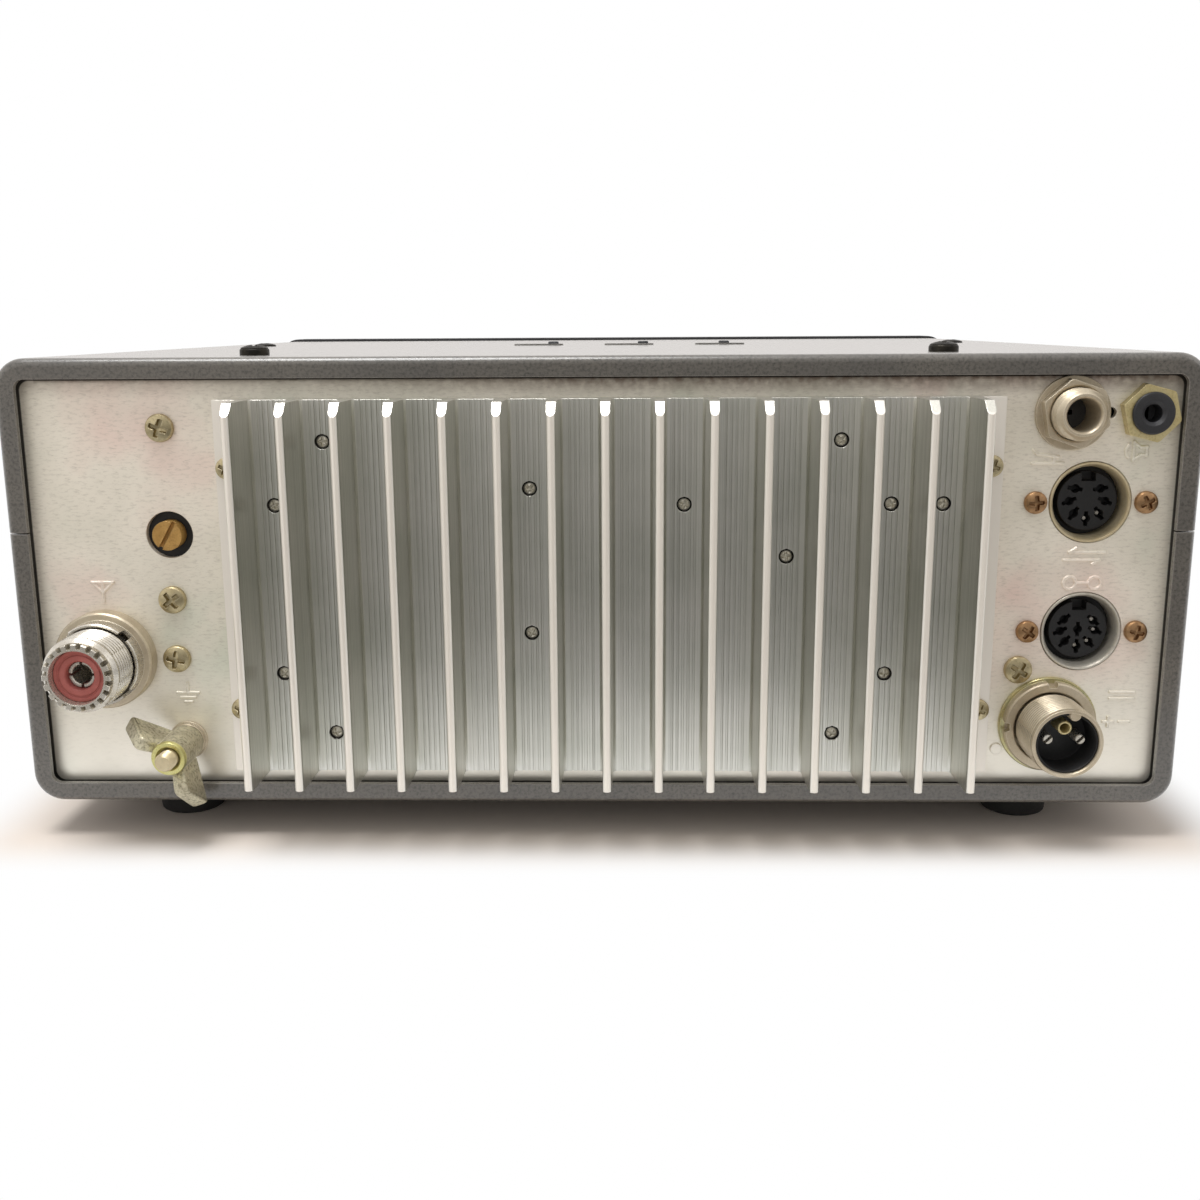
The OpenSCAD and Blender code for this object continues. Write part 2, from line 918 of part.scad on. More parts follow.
module antenna_shell() {
    z = up(antenna_up);
    tip = panel_y + antenna_l;
    tip_r = antenna_r - tip_drop;
    color(bright)
        difference() {
            union() {
                rod(antenna_x, z, antenna_r + thread_flange, panel_in - thread_flange_t, panel_in);
                rod(antenna_x, z, antenna_r - antenna_neck, panel_in, panel_y + antenna_nut[1][1]);
                rod(antenna_x, z, antenna_r, panel_y + antenna_nut[1][1], tip - tip_l - tip_bevel_l);
                taper(antenna_x, z, antenna_r, tip_r, tip - tip_l - tip_bevel_l, tip - tip_l);
                rod(antenna_x, z, tip_r, tip - tip_l, tip);
            }
            rod(antenna_x, z, insulator_r + running, panel_in - thread_flange_t - over, tip + over);
            for (i = [0 : teeth - 1])
                translate([antenna_x, tip - tooth_d, z])
                    rotate([0, i * 360 / teeth, 0])
                        translate([insulator_r + tooth_wall, 0, -tooth_w / 2])
                            cube([tip_r, tooth_d + over, tooth_w]);
        }
}

module antenna_insulator() {
    z = up(antenna_up);
    color("#b0605a")
        difference() {
            rod(antenna_x, z, insulator_r, panel_in - insulator_back, panel_y + antenna_l - insulator_drop);
            rod(antenna_x, z, contact_r + running, panel_in - insulator_back - over, panel_y + antenna_l);
        }
}

module antenna_contact() {
    z = up(antenna_up);
    tip = panel_y + antenna_l - contact_drop;
    back = panel_in - insulator_back;
    color(bright)
        difference() {
            union() {
                rod(antenna_x, z, contact_r, back, tip);
                rod(antenna_x, z, contact_tail_r, back - contact_tail_l, back);
                rod(antenna_x, z, contact_r + contact_flange, back - contact_flange_t, back);
            }
            rod(antenna_x, z, contact_bore, panel_y, tip + over);
            block(antenna_x - contact_r - over, antenna_x + contact_r + over, tip - contact_slit_l,
                tip + over, z - contact_slit / 2, z + contact_slit / 2);
        }
}

// nuts of the antenna socket, stepped and slotted, and of the power inlet, notched
notch_w = 2.2;
notch_d = 1.1;
notch_floor = 1;

module ring_nut(x, z, r, bore, notches, start) {
    difference() {
        rod(x, z, r, panel_y, panel_y + ring_nut_t);
        rod(x, z, bore, panel_y - over, panel_y + ring_nut_t + over);
        for (i = [0 : notches - 1])
            translate([x, panel_y + notch_floor, z])
                rotate([0, start + i * 360 / notches, 0])
                    translate([r - notch_d, 0, -notch_w / 2])
                        cube([notch_d + over, ring_nut_t, notch_w]);
    }
}

module stepped_nut(x, z) {
    low = panel_y + antenna_nut[0][1];
    high = panel_y + antenna_nut[1][1];
    slot_w = 2;
    slot_floor = 0.6;
    difference() {
        union() {
            rod(x, z, antenna_r + antenna_nut[0][0], panel_y, low);
            rod(x, z, antenna_r + antenna_nut[1][0], panel_y, high);
        }
        rod(x, z, antenna_r + slip, panel_y - over, high + over);
        for (turn = [45 : 90 : 315])
            translate([x, low + slot_floor, z])
                rotate([0, turn, 0])
                    translate([antenna_r - over, 0, -slot_w / 2])
                        cube([antenna_nut[1][0] + 2 * over, high - low, slot_w]);
    }
}

module ring_nuts() {
    color(bright) {
        stepped_nut(antenna_x, up(antenna_up));
        ring_nut(inlet_x, up(inlet_up), inlet_r + ring_nut_inlet, inlet_r + slip, 4, 0);
    }
}

// ground post: stud with a head inside the panel and a fixed washer outside it
washer_t = 1.5;
washer_r = 4.1;
stud_head_t = 3;
stud_bevel = 0.6;

module ground_stud() {
    z = up(ground_up);
    tip = panel_y + stud_l;
    color(bright) {
        rod(ground_x, z, washer_r, panel_in - stud_head_t, panel_in);
        rod(ground_x, z, stud_r, panel_in, tip - stud_bevel);
        taper(ground_x, z, stud_r, stud_r - stud_bevel, tip - stud_bevel, tip);
        rod(ground_x, z, washer_r, panel_y, panel_y + washer_t);
    }
}

wing_gap = 0.3;
wing_y0 = panel_y + washer_t + wing_gap;
wing_l = 11.6;
wing_t = 2.4;
hub_r = 3.8;
hub_lap = 1.3;
wing_turns = [-31, 113];
wing_low = 2.2;
wing_back = 6.6;
wing_top = 11;
wing_front = 14.4;
wing_slant = 5;

// a wing in radius and height above the panel; its outer end leans in towards the front
module wing_outline() {
    polygon([
        [hub_r - hub_lap, wing_low],
        [wing_r - 0.7, wing_back],
        [wing_r, wing_back + 0.6],
        [wing_r - 0.2, wing_back + 1.3],
        [wing_r - wing_slant + 0.6, wing_front - 0.4],
        [wing_r - wing_slant - 0.5, wing_front],
        [hub_r - hub_lap, wing_top]
    ]);
}

module wing_nut() {
    z = up(ground_up);
    color(zinc)
        difference() {
            union() {
                rod(ground_x, z, hub_r, wing_y0, wing_y0 + wing_l);
                for (turn = wing_turns)
                    translate([ground_x, panel_y, z])
                        rotate([0, turn, 0])
                            translate([0, 0, -wing_t / 2])
                                linear_extrude(wing_t)
                                    wing_outline();
            }
            rod(ground_x, z, stud_r + running, wing_y0 - over, panel_y + stud_l + over);
        }
}

// trimmer behind its panel hole
trimmer_half = 8;
trimmer_l = 14;
trimmer_end = 3;
trimmer_proud = 1.7;
trimmer_grip = 9;
trimmer_turn = 60;

module trimmer_body() {
    color(black)
        difference() {
            block(trimmer_x - trimmer_half, trimmer_x + trimmer_half, panel_in - trimmer_l, panel_in,
                up(trimmer_up) - trimmer_half, up(trimmer_up) + trimmer_half);
            rod(trimmer_x, up(trimmer_up), trimmer_r + running, panel_in - trimmer_l + trimmer_end,
                panel_in + over);
        }
}

module trimmer_shaft() {
    tip = panel_y + trimmer_proud;
    slot_w = 0.9;
    slot_d = 1.4;
    color(brassy)
        difference() {
            rod(trimmer_x, up(trimmer_up), trimmer_r, panel_in - trimmer_grip, tip);
            translate([trimmer_x, tip - slot_d, up(trimmer_up)])
                rotate([0, trimmer_turn, 0])
                    translate([-trimmer_r - over, 0, -slot_w / 2])
                        cube([2 * trimmer_r + 2 * over, slot_d + over, slot_w]);
        }
}

// key jack and loudspeaker jack
key_bush_r = 5.2;
key_l = 7.5;
key_half = 7;
key_body_l = 26;
key_end = 2;
key_across = 12.2;
key_turn = 11;
key_nut_t = 2.6;
key_washer_t = 0.8;
key_washer_lap = 1.4;
ear_bush_r = 3.2;
ear_ring_r = 4.25;
ear_ring_t = 0.8;
ear_half = [5, 6];
ear_body_l = 16;
ear_end = 2;
ear_across = 10.5;
ear_turn = 15;
ear_nut_t = 2.2;

module key_jack() {
    z = up(key_up);
    color(bright)
        difference() {
            union() {
                rod(key_x, z, key_bush_r, panel_in, panel_y + key_l);
                block(key_x - key_half, key_x + key_half, panel_in - key_body_l, panel_in,
                    z - key_half, z + key_half);
            }
            rod(key_x, z, key_bore_r, panel_in - key_body_l + key_end, panel_y + key_l + over);
        }
}

module key_jack_nut() {
    z = up(key_up);
    seat = panel_y + key_washer_t;
    color(bright)
        difference() {
            union() {
                rod(key_x, z, key_across / 2 + key_washer_lap, panel_y, seat);
                hex_y(key_x, z, key_across, key_turn, seat, seat + key_nut_t);
            }
            rod(key_x, z, key_bush_r + slip, panel_y - over, seat + key_nut_t + over);
        }
}

module ear_jack() {
    z = up(ear_up);
    tip = panel_y + ear_nut_t + ear_ring_t;
    color(black)
        difference() {
            union() {
                rod(ear_x, z, ear_bush_r, panel_in, panel_y + ear_nut_t);
                rod(ear_x, z, ear_ring_r, panel_y + ear_nut_t, tip);
                block(ear_x - ear_half[0], ear_x + ear_half[0], panel_in - ear_body_l, panel_in,
                    z - ear_half[1], z + ear_half[1]);
            }
            rod(ear_x, z, ear_bore_r, panel_in - ear_body_l + ear_end, tip + over);
        }
}

module ear_jack_nut() {
    z = up(ear_up);
    color(brassy)
        difference() {
            hex_y(ear_x, z, ear_across, ear_turn, panel_y, panel_y + ear_nut_t);
            rod(ear_x, z, ear_bush_r + slip, panel_y - over, panel_y + ear_nut_t + over);
        }
}

// round multi-pin sockets, mounted from behind
din_shell_r = 8.25;
din_face_r = 7.1;
din_l = 10;
din_proud = 0.3;
din_plate_t = 1;
din_collar = 0.45;
din_ear = 3.1;
din_ear_h = 7;
din_ear_r = 2;
din_head_r = 2.3;
din_sink = 1.8;
din_flare = 0.4;

module din_shells() {
    color(bright)
        for (h = din_ups)
            difference() {
                union() {
                    rod(din_x, up(h), din_shell_r, panel_in - din_l, panel_y + din_proud);
                    along_y(panel_in - din_plate_t, panel_in)
                        translate([din_x, up(h)]) {
                            circle(din_shell_r + din_collar);
                            rounded(din_span + 2 * din_ear, din_ear_h, din_ear_r);
                        }
                }
                rod(din_x, up(h), din_face_r + running, panel_in - din_l - over, panel_y + over);
                taper(din_x, up(h), din_face_r + running,
                    din_face_r + running + din_flare * (din_sink + din_proud + over),
                    panel_y - din_sink, panel_y + din_proud + over);
                for (s = [-1, 1])
                    rod(din_x + s * din_span / 2, up(h), screw_r + running, panel_in - din_plate_t - over,
                        panel_y);
            }
}

// contacts 45 degrees apart round the lower face, with a key notch above
module din_inserts() {
    face = panel_y - din_sink;
    reach = 5;
    contact_ring = 3.65;
    contact_hole = 0.75;
    notch_half = 1.2;
    notch_deep = 1.8;
    notch_reach = 3;
    color(black)
        for (k = [0, 1])
            difference() {
                rod(din_x, up(din_ups[k]), din_face_r, panel_in - din_l, face);
                for (i = [0 : 6])
                    translate([din_x, 0, up(din_ups[k])])
                        rotate([0, -135 + i * 45, 0])
                            rod(0, -contact_ring, contact_hole, face - reach, face + over);
                if (din_pins[k] > 7)
                    rod(din_x, up(din_ups[k]), contact_hole, face - reach, face + over);
                block(din_x - notch_half, din_x + notch_half, face - notch_reach, face + over,
                    up(din_ups[k]) + din_face_r - notch_deep, up(din_ups[k]) + din_face_r + over);
            }
}

module din_screws() {
    color(coppery)
        for (h = din_ups, s = [-1, 1])
            pan_screw(din_x + s * din_span / 2, up(h), panel_y, din_head_r, screw_r, panel_t + nut_l);
}

// power inlet: threaded shell, insulating body and three contacts
inlet_bore = 6.3;
post_r = 1.45;
blade_r = 1.05;
blade_gap = 6.5;
post_row = 2.6;
post_wall = 0.5;
post_hole_l = 5;
blade_up = 0.2;
blade_slit = 0.45;
blade_turn = 45;
blade_slit_l = 2.5;
inlet_neck = 0.6;
inlet_face = 7;
inlet_back = 6;
inlet_tail = 3;
inlet_key = [2.2, 1.3];
inlet_key_gap = 0.2;
inlet_key_drop = 1;
pin_drop = 2.5;

module at_blades() {
    for (s = [-1, 1])
        translate([inlet_x + s * blade_gap / 2, 0, up(inlet_up) + blade_up])
            children();
}

module inlet_shell() {
    z = up(inlet_up);
    color(bright)
        difference() {
            union() {
                rod(inlet_x, z, inlet_r + thread_flange, panel_in - thread_flange_t, panel_in);
                rod(inlet_x, z, inlet_r - inlet_neck, panel_in, panel_y + ring_nut_t);
                rod(inlet_x, z, inlet_r, panel_y + ring_nut_t, panel_y + inlet_l);
            }
            rod(inlet_x, z, inlet_bore, panel_in - thread_flange_t - over, panel_y + inlet_l + over);
        }
}

module inlet_insert() {
    z = up(inlet_up);
    face = panel_y + inlet_l - inlet_face;
    back = panel_in - inlet_back;
    key_z = z + inlet_bore - inlet_key_gap;
    color(black)
        difference() {
            union() {
                rod(inlet_x, z, inlet_bore - running, back, face);
                block(inlet_x - inlet_key[0] / 2, inlet_x + inlet_key[0] / 2, face,
                    panel_y + inlet_l - inlet_key_drop, key_z - inlet_key[1], key_z);
            }
            at_blades()
                rod(0, 0, blade_r + running, back - over, face + over);
            rod(inlet_x, z + post_row, post_r + running, back - over, face + over);
        }
}

module inlet_pins() {
    tip = panel_y + inlet_l - pin_drop;
    back = panel_in - inlet_back - inlet_tail;
    color(bright) {
        at_blades()
            difference() {
                rod(0, 0, blade_r, back, tip);
                rotate([0, blade_turn, 0])
                    block(-blade_r - over, blade_r + over, tip - blade_slit_l, tip + over,
                        -blade_slit / 2, blade_slit / 2);
            }
        difference() {
            rod(inlet_x, up(inlet_up) + post_row, post_r, back, tip);
            rod(inlet_x, up(inlet_up) + post_row, post_r - post_wall, tip - post_hole_l, tip + over);
        }
    }
}

// slide potentiometers on a bracket under the roof, and their levers
module slider_pots() {
    half = slider_pitch + slider_pot[0] / 2 + slider_strip_end;
    y = slider_y - slider_strip_half;
    bed = slider_bed;
    channel = slider_slot + 1;
    color(steel)
        difference() {
            union() {
                block(slider_x - half, slider_x + half, y, y + 2 * slider_strip_half,
                    bed - slider_strip_t, bed);
                for (x = [slider_x - half, slider_x + half - slider_strip_t])
                    translate([x, y, deck_top])
                        cube([slider_strip_t, 2 * slider_strip_half, bed - deck_top]);
                for (i = [-1, 0, 1])
                    translate([slider_at(i) - slider_pot[0] / 2, slider_y - slider_pot[1] / 2, bed])
                        cube(slider_pot);
            }
            for (i = [-1, 0, 1])
                translate([slider_at(i) - channel / 2, slider_y - slider_well_half, bed + slider_well])
                    cube([channel, 2 * slider_well_half, slider_pot[2]]);
        }
}

module slider(i) {
    foot = slider_bed + slider_lift;
    x = slider_at(i) + slider_rests[i + 1];
    color(black)
        translate([x - slider_stem[0] / 2, slider_y - slider_stem[1] / 2, foot])
            cube([slider_stem[0], slider_stem[1], top_z + slider_proud - foot]);
}

module slider_left() {
    slider(1);
}

module slider_middle() {
    slider(0);
}

module slider_right() {
    slider(-1);
}

// front panel, windows and sub panel
module at_rotaries() {
    for (p = [[selector_x, high_up], [selector_x, low_up], [small_x, high_up], [small_x, low_up]])
        translate([p[0], 0, up(p[1])])
            children();
}

module window_hole(x, h, w, d, grow) {
    translate([x, up(h)])
        rounded(w + 2 * grow, d + 2 * grow, window_r);
}

module front_panel() {
    color(black)
        difference() {
            union() {
                along_y(front_y, bezel_y)
                    case_outline(-lip);
                along_y(bezel_y, sub_y)
                    case_outline(cover_t + slip);
            }
            along_y(front_y + face_t, bezel_y)
                case_outline(bezel_wall);
            along_y(bezel_y - over, sub_y + over)
                case_outline(cover_t + slip + spigot_wall);
            along_y(front_y - over, front_y + face_t + over) {
                window_hole(meter_x, meter_up, meter_w, meter_h, 0);
                window_hole(display_x, display_up, display_w, display_h, 0);
                for (i = [0 : 3])
                    translate([button_at(i), up(button_up)])
                        square([button_w + 2 * free, button_h + 2 * free], center = true);
            }
            at_rotaries()
                rod(0, 0, bush_r + free, front_y - over, front_y + face_t + over);
            rod(tuning_x, up(tuning_up), bush_r + free, front_y - over, front_y + face_t + over);
            rod(mic_x, up(socket_up), mic_r + slip, front_y - over, front_y + face_t + over);
            rod(phones_x, up(socket_up), phones_r + slip, front_y - over, front_y + face_t + over);
        }
}

module clear_windows() {
    color("#9fb4b8", 0.5)
        along_y(front_y + face_t, front_y + face_t + window_t) {
            window_hole(meter_x, meter_up, meter_w, meter_h, window_lap);
            window_hole(display_x, display_up, display_w, display_h, window_lap);
        }
}

module sub_panel() {
    edge = cover_t + sub_gap;
    color(steel)
        difference() {
            along_y(sub_y, sub_back)
                translate([0, mid_z])
                    rounded(case_w - 2 * edge, case_h - 2 * edge, corner_r - edge);
            at_rotaries()
                rod(0, 0, bush_r + slip, sub_y - over, sub_back + over);
            rod(tuning_x, up(tuning_up), drive_neck_r + slip, sub_y - over, sub_back + over);
        }
}

module display_module() {
    color(black)
        along_y(front_y + face_t + window_t, sub_y)
            window_hole(display_x, display_up, display_w, display_h, display_lap);
}

// panel meter: case with a dial at its back and a pivot pin for the needle
meter_front = front_y + face_t + window_t;
dial_d = 11;
dial_y = front_y + dial_d;
pivot_low = 3;
pivot_up = meter_up - meter_h / 2 + pivot_low;
pivot_r = 0.9;
pivot_l = 4;
needle_gap = 3;
needle_l = meter_h - pivot_low - needle_gap;
needle_lean = 42;
needle_off = 3;
needle_hub_r = 2.4;
needle_hub_t = 1.4;
needle_t = 0.6;
needle_half = [0.7, 0.3];

module meter_case() {
    color("#e8e2d0")
        difference() {
            along_y(meter_front, sub_y)
                window_hole(meter_x, meter_up, meter_w, meter_h, window_lap);
            along_y(meter_front - over, dial_y)
                window_hole(meter_x, meter_up, meter_w, meter_h, 0);
        }
    color("#e8e2d0")
        rod(meter_x, up(pivot_up), pivot_r, dial_y - pivot_l, dial_y);
}

module meter_needle() {
    y = dial_y - needle_off;
    wide = needle_half[0];
    fine = needle_half[1];
    color(black)
        difference() {
            union() {
                rod(meter_x, up(pivot_up), needle_hub_r, y, y + needle_hub_t);
                translate([meter_x, y + (needle_hub_t - needle_t) / 2, up(pivot_up)])
                    rotate([0, -needle_lean, 0])
                        along_y(0, needle_t)
                            polygon([[-wide, 0], [wide, 0], [fine, needle_l], [-fine, needle_l]]);
            }
            rod(meter_x, up(pivot_up), pivot_r + running, y - over, y + needle_hub_t + over);
        }
}

// tuning: knob on its shaft, a ball drive and the variable capacitor it turns
tuning_skirt = 5;
tuning_step = 2.5;
tuning_bevel = 1.5;
tuning_cap = 6;
dimple_r = 7;
dimple_d = 3;
dimple_place = 0.45;

module tuning_knob() {
    z = up(tuning_up);
    back = front_y - knob_gap;
    crown_r = tuning_r - tuning_step;
    dimple = crown_r * dimple_place;
    color(black)
        difference() {
            union() {
                rod(tuning_x, z, tuning_r, back - tuning_skirt, back);
                rod(tuning_x, z, crown_r, back - tuning_d + tuning_bevel, back - tuning_skirt);
                taper(tuning_x, z, crown_r - tuning_bevel, crown_r, back - tuning_d,
                    back - tuning_d + tuning_bevel);
            }
            rod(tuning_x, z, shaft_r + running, back - tuning_d + tuning_cap, back + over);
            translate([tuning_x + dimple, back - tuning_d - dimple_r + dimple_d, z + dimple])
                sphere(r = dimple_r);
        }
}

module tuning_shaft() {
    color(bright)
        rod(tuning_x, up(tuning_up), shaft_r, front_y - knob_gap - tuning_d + tuning_cap + shaft_end,
            sub_back + drive_in);
}

module vernier_drive() {
    z = up(tuning_up);
    wall = sub_back + drive_in + shaft_end;
    color(brassy)
        difference() {
            union() {
                rod(tuning_x, z, drive_neck_r, sub_y - drive_neck_l, sub_back);
                rod(tuning_x, z, drive_r, sub_back, sub_back + drive_l);
            }
            rod(tuning_x, z, shaft_r + running, sub_y - drive_neck_l - over, wall);
            rod(tuning_x, z, shaft_r + running, wall + drive_wall, sub_back + drive_l + over);
        }
}

module capacitor_rotor() {
    z = up(tuning_up);
    start = sub_back + drive_in + drive_wall + 2 * shaft_end;
    color(alloy) {
        rod(tuning_x, z, shaft_r, start, cap_y + cap_l + cap_tail);
        for (i = [0 : rotor_count - 1])
            along_y(cap_y + cap_gap + i * rotor_pitch, cap_y + cap_gap + i * rotor_pitch + rotor_t)
                translate([tuning_x, z])
                    intersection() {
                        circle(rotor_r);
                        translate([-shaft_r - rotor_root, -rotor_r - over])
                            square([rotor_r + shaft_r + 2 * rotor_root, 2 * rotor_r + 2 * over]);
                    }
    }
}

// end plates and roof of the capacitor, with fixed half plates on two rods
module capacitor_frame() {
    z = up(tuning_up);
    half = cap_half;
    roof = deck_z;
    first = cap_y + cap_gap + rotor_pitch / 2;
    color(steel)
        difference() {
            union() {
                for (y = [cap_y, cap_y + cap_l - cap_plate])
                    block(tuning_x - half, tuning_x + half, y, y + cap_plate, z - cap_low, roof);
                block(tuning_x - half, tuning_x + half, cap_y, cap_y + cap_l, roof - cap_plate, roof);
                for (s = [-1, 1])
                    rod(tuning_x + s * rod_x, z + cap_rod_up, cap_rod_r, cap_y, cap_y + cap_l);
                for (i = [0 : rotor_count - 2])
                    along_y(first + i * rotor_pitch, first + i * rotor_pitch + rotor_t)
                        translate([tuning_x, z])
                            difference() {
                                union() {
                                    intersection() {
                                        circle(rotor_r + stator_edge);
                                        translate([-rotor_r * 2, 0])
                                            square([rotor_r * 4, rotor_r * 2]);
                                    }
                                    translate([-rod_x - 1, 0])
                                        square([2 * (rod_x + 1), cap_strap]);
                                }
                                circle(shaft_r + stator_gap);
                            }
            }
            rod(tuning_x, z, shaft_r + running, cap_y - over, cap_y + cap_l + over);
        }
}

// small knobs with their spindles
knob_skirt = 3;
knob_step = 2;
knob_bevel = 1;
mark_half = 0.5;
mark_d = 0.6;
mark_start = 0.3;

module knob(x, h, r) {
    z = up(h);
    back = front_y - knob_gap;
    face = back - knob_d;
    crown_r = r - knob_step;
    color(black)
        difference() {
            union() {
                rod(x, z, r, back - knob_skirt, back);
                rod(x, z, crown_r, face + knob_bevel, back - knob_skirt);
                taper(x, z, crown_r - knob_bevel, crown_r, face, face + knob_bevel);
                rod(x, z, shaft_r, back - knob_skirt, sub_back + shaft_in);
            }
            block(x - mark_half, x + mark_half, face - over, face + mark_d, z + r * mark_start, z + r);
        }
}

module band_knob() {
    knob(selector_x, high_up, selector_r);
}

module mode_knob() {
    knob(selector_x, low_up, selector_r);
}

module offset_knob() {
    knob(small_x, high_up, small_knob_r);
}

// the two knobs of the double control: an inner one through a ring
core_r = 1.9;
ring_shaft_r = shaft_r + 0.5;
ring_gap = 0.5;
spindle_lap = 2;

module gain_knob() {
    z = up(low_up);
    back = front_y - knob_gap - ring_d - ring_gap;
    face = front_y - knob_gap - knob_d;
    color(black)
        difference() {
            union() {
                rod(small_x, z, inner_r, face + knob_bevel, back);
                taper(small_x, z, inner_r - knob_bevel, inner_r, face, face + knob_bevel);
                rod(small_x, z, core_r, back - spindle_lap, sub_back + core_in);
            }
            block(small_x - mark_half, small_x + mark_half, face - over, face + mark_d,
                z + inner_r * mark_start, z + inner_r);
        }
}

module ring_knob() {
    z = up(low_up);
    back = front_y - knob_gap;
    color(black)
        difference() {
            union() {
                rod(small_x, z, ring_r, back - ring_d, back);
                rod(small_x, z, ring_shaft_r, back - spindle_lap, sub_back + ring_in);
            }
            rod(small_x, z, core_r + running, back - ring_d - over, sub_back + ring_in + over);
            block(small_x - mark_half, small_x + mark_half, back - ring_d - over, back - ring_d + mark_d,
                z + inner_r + mark_half, z + ring_r + over);
        }
}

// bodies of the four rotary controls, hung on the sub panel by their bushes
module control_pots() {
    color(steel)
        difference() {
            at_rotaries() {
                rod(0, 0, bush_r, sub_y - bush_l, sub_back);
                rod(0, 0, pot_r, sub_back, sub_back + pot_l);
            }
            for (p = [[selector_x, high_up], [selector_x, low_up], [small_x, high_up]])
                rod(p[0], up(p[1]), shaft_r + running, sub_y - bush_l - over,
                    sub_back + shaft_in + shaft_end);
            rod(small_x, up(low_up), ring_shaft_r + running, sub_y - bush_l - over,
                sub_back + ring_in + shaft_end);
            rod(small_x, up(low_up), core_r + running, sub_back, sub_back + core_in + shaft_end);
        }
}

// push buttons and the switches they press
button_proud = button_travel + 1;
button_sunk = 3;
switch_gap = 2.5;
switch_y = front_y + button_sunk + button_travel + switch_gap;
switch_half = 4;
switch_floor = 1;
stem_half = 1.4;
stem_in = 3;

module push_button(i) {
    x = button_at(i);
    z = up(button_up);
    color("#3a3a3e") {
        block(x - button_w / 2, x + button_w / 2, front_y - button_proud, front_y + button_sunk,
            z - button_h / 2, z + button_h / 2);
        block(x - stem_half, x + stem_half, front_y, switch_y + stem_in, z - stem_half, z + stem_half);
    }
}

module button_one() {
    push_button(0);
}

module button_two() {
    push_button(1);
}

module button_three() {
    push_button(2);
}

module button_four() {
    push_button(3);
}

module button_switches() {
    half = switch_half;
    well = stem_half + free;
    z = up(button_up);
    color(black)
        for (i = [0 : 3])
            difference() {
                block(button_at(i) - half, button_at(i) + half, switch_y, sub_y, z - half, z + half);
                block(button_at(i) - well, button_at(i) + well, switch_y - over, sub_y - switch_floor,
                    z - well, z + well);
            }
}

// front sockets
mic_l = 6;
mic_flange = 2;
mic_flange_t = 1.5;
mic_wall = 1.3;
mic_floor = 1;
mic_back = 6;
mic_pins = 7;
mic_pin_r = 0.6;
mic_pin_ring = 0.5;
mic_pin_l = 4;
phones_flange = 2;
phones_flange_t = 1.5;
phones_half = 7;
phones_end = 1;

module mic_socket() {
    z = up(socket_up);
    back = front_y + face_t;
    color(bright)
        difference() {
            union() {
                rod(mic_x, z, mic_r, front_y - mic_l, back + mic_back);
                rod(mic_x, z, mic_r + mic_flange, front_y - mic_flange_t, front_y);
                rod(mic_x, z, mic_r + mic_flange, back, back + mic_flange_t);
            }
            rod(mic_x, z, mic_r - mic_wall, front_y - mic_l - over, front_y - mic_floor);
            for (i = [0 : mic_pins - 1])
                translate([mic_x, 0, z])
                    rotate([0, i * 360 / mic_pins, 0])
                        rod(0, mic_r * mic_pin_ring, mic_pin_r, front_y - mic_floor - over,
                            front_y + mic_pin_l);
        }
}

module phones_jack() {
    z = up(socket_up);
    color(bright)
        difference() {
            union() {
                rod(phones_x, z, phones_r, front_y - phones_flange_t, front_y + face_t);
                rod(phones_x, z, phones_r + phones_flange, front_y - phones_flange_t, front_y);
                block(phones_x - phones_half, phones_x + phones_half, front_y + face_t, sub_y,
                    z - phones_half, z + phones_half);
            }
            rod(phones_x, z, key_bore_r, front_y - phones_flange_t - over, sub_y - phones_end);
        }
}

// boards: two on the deck and one standing behind the heat sink
module circuit_boards() {
    z = deck_top + board_up;
    back = panel_y - spreader_t - final_post_l;
    color("#3d6b45") {
        for (b = [front_board, rear_board])
            block(-board_x, board_x, b[0], b[1], z, z + board_t);
        along_y(back - board_t, back)
            translate([sink_x, up(sink_up)])
                square([2 * (final_x + final_board_lap), 2 * (final_row + final_end)], center = true);
    }
}

// coil cans in a row with a filter beside them, and three larger cans on the rear board
can = [10, 10, 14];
can_pitch = 18;
can_in = 14;
filter = [40, 22, 18];
filter_in = 12;
rear_can = [28, 22, 20];
rear_can_pitch = 50;
can_edge = 12;

module shield_cans() {
    z = deck_top + board_up + board_t;
    color(bright) {
        for (i = [0 : 5])
            translate([can_in + i * can_pitch - board_x, front_board[1] - can_edge - can[1], z])
                cube(can);
        translate([board_x - filter_in - filter[0], front_board[1] - can_edge - filter[1], z])
            cube(filter);
        for (i = [-1, 0, 1])
            translate([i * rear_can_pitch - rear_can[0] / 2, rear_board[0] + can_edge, z])
                cube(rear_can);
    }
}

speaker_lip = 2;
speaker_cone = 13;
speaker_deep = 25;
speaker_skin = 3;
magnet_r = 18;
voice_r = 8;
voice_up = 10;

module loudspeaker() {
    throat = speaker_r - speaker_rim - speaker_lip;
    color(black)
        translate([speaker_x, speaker_y, floor_z])
            rotate_extrude()
                polygon([
                    [speaker_r - speaker_rim, 0], [speaker_r, 0], [speaker_r, speaker_lip],
                    [speaker_r - speaker_skin, speaker_lip], [magnet_r, speaker_cone],
                    [magnet_r, speaker_deep], [0, speaker_deep], [0, voice_up], [voice_r, voice_up],
                    [throat, speaker_lip * 0.75]
                ]);
}

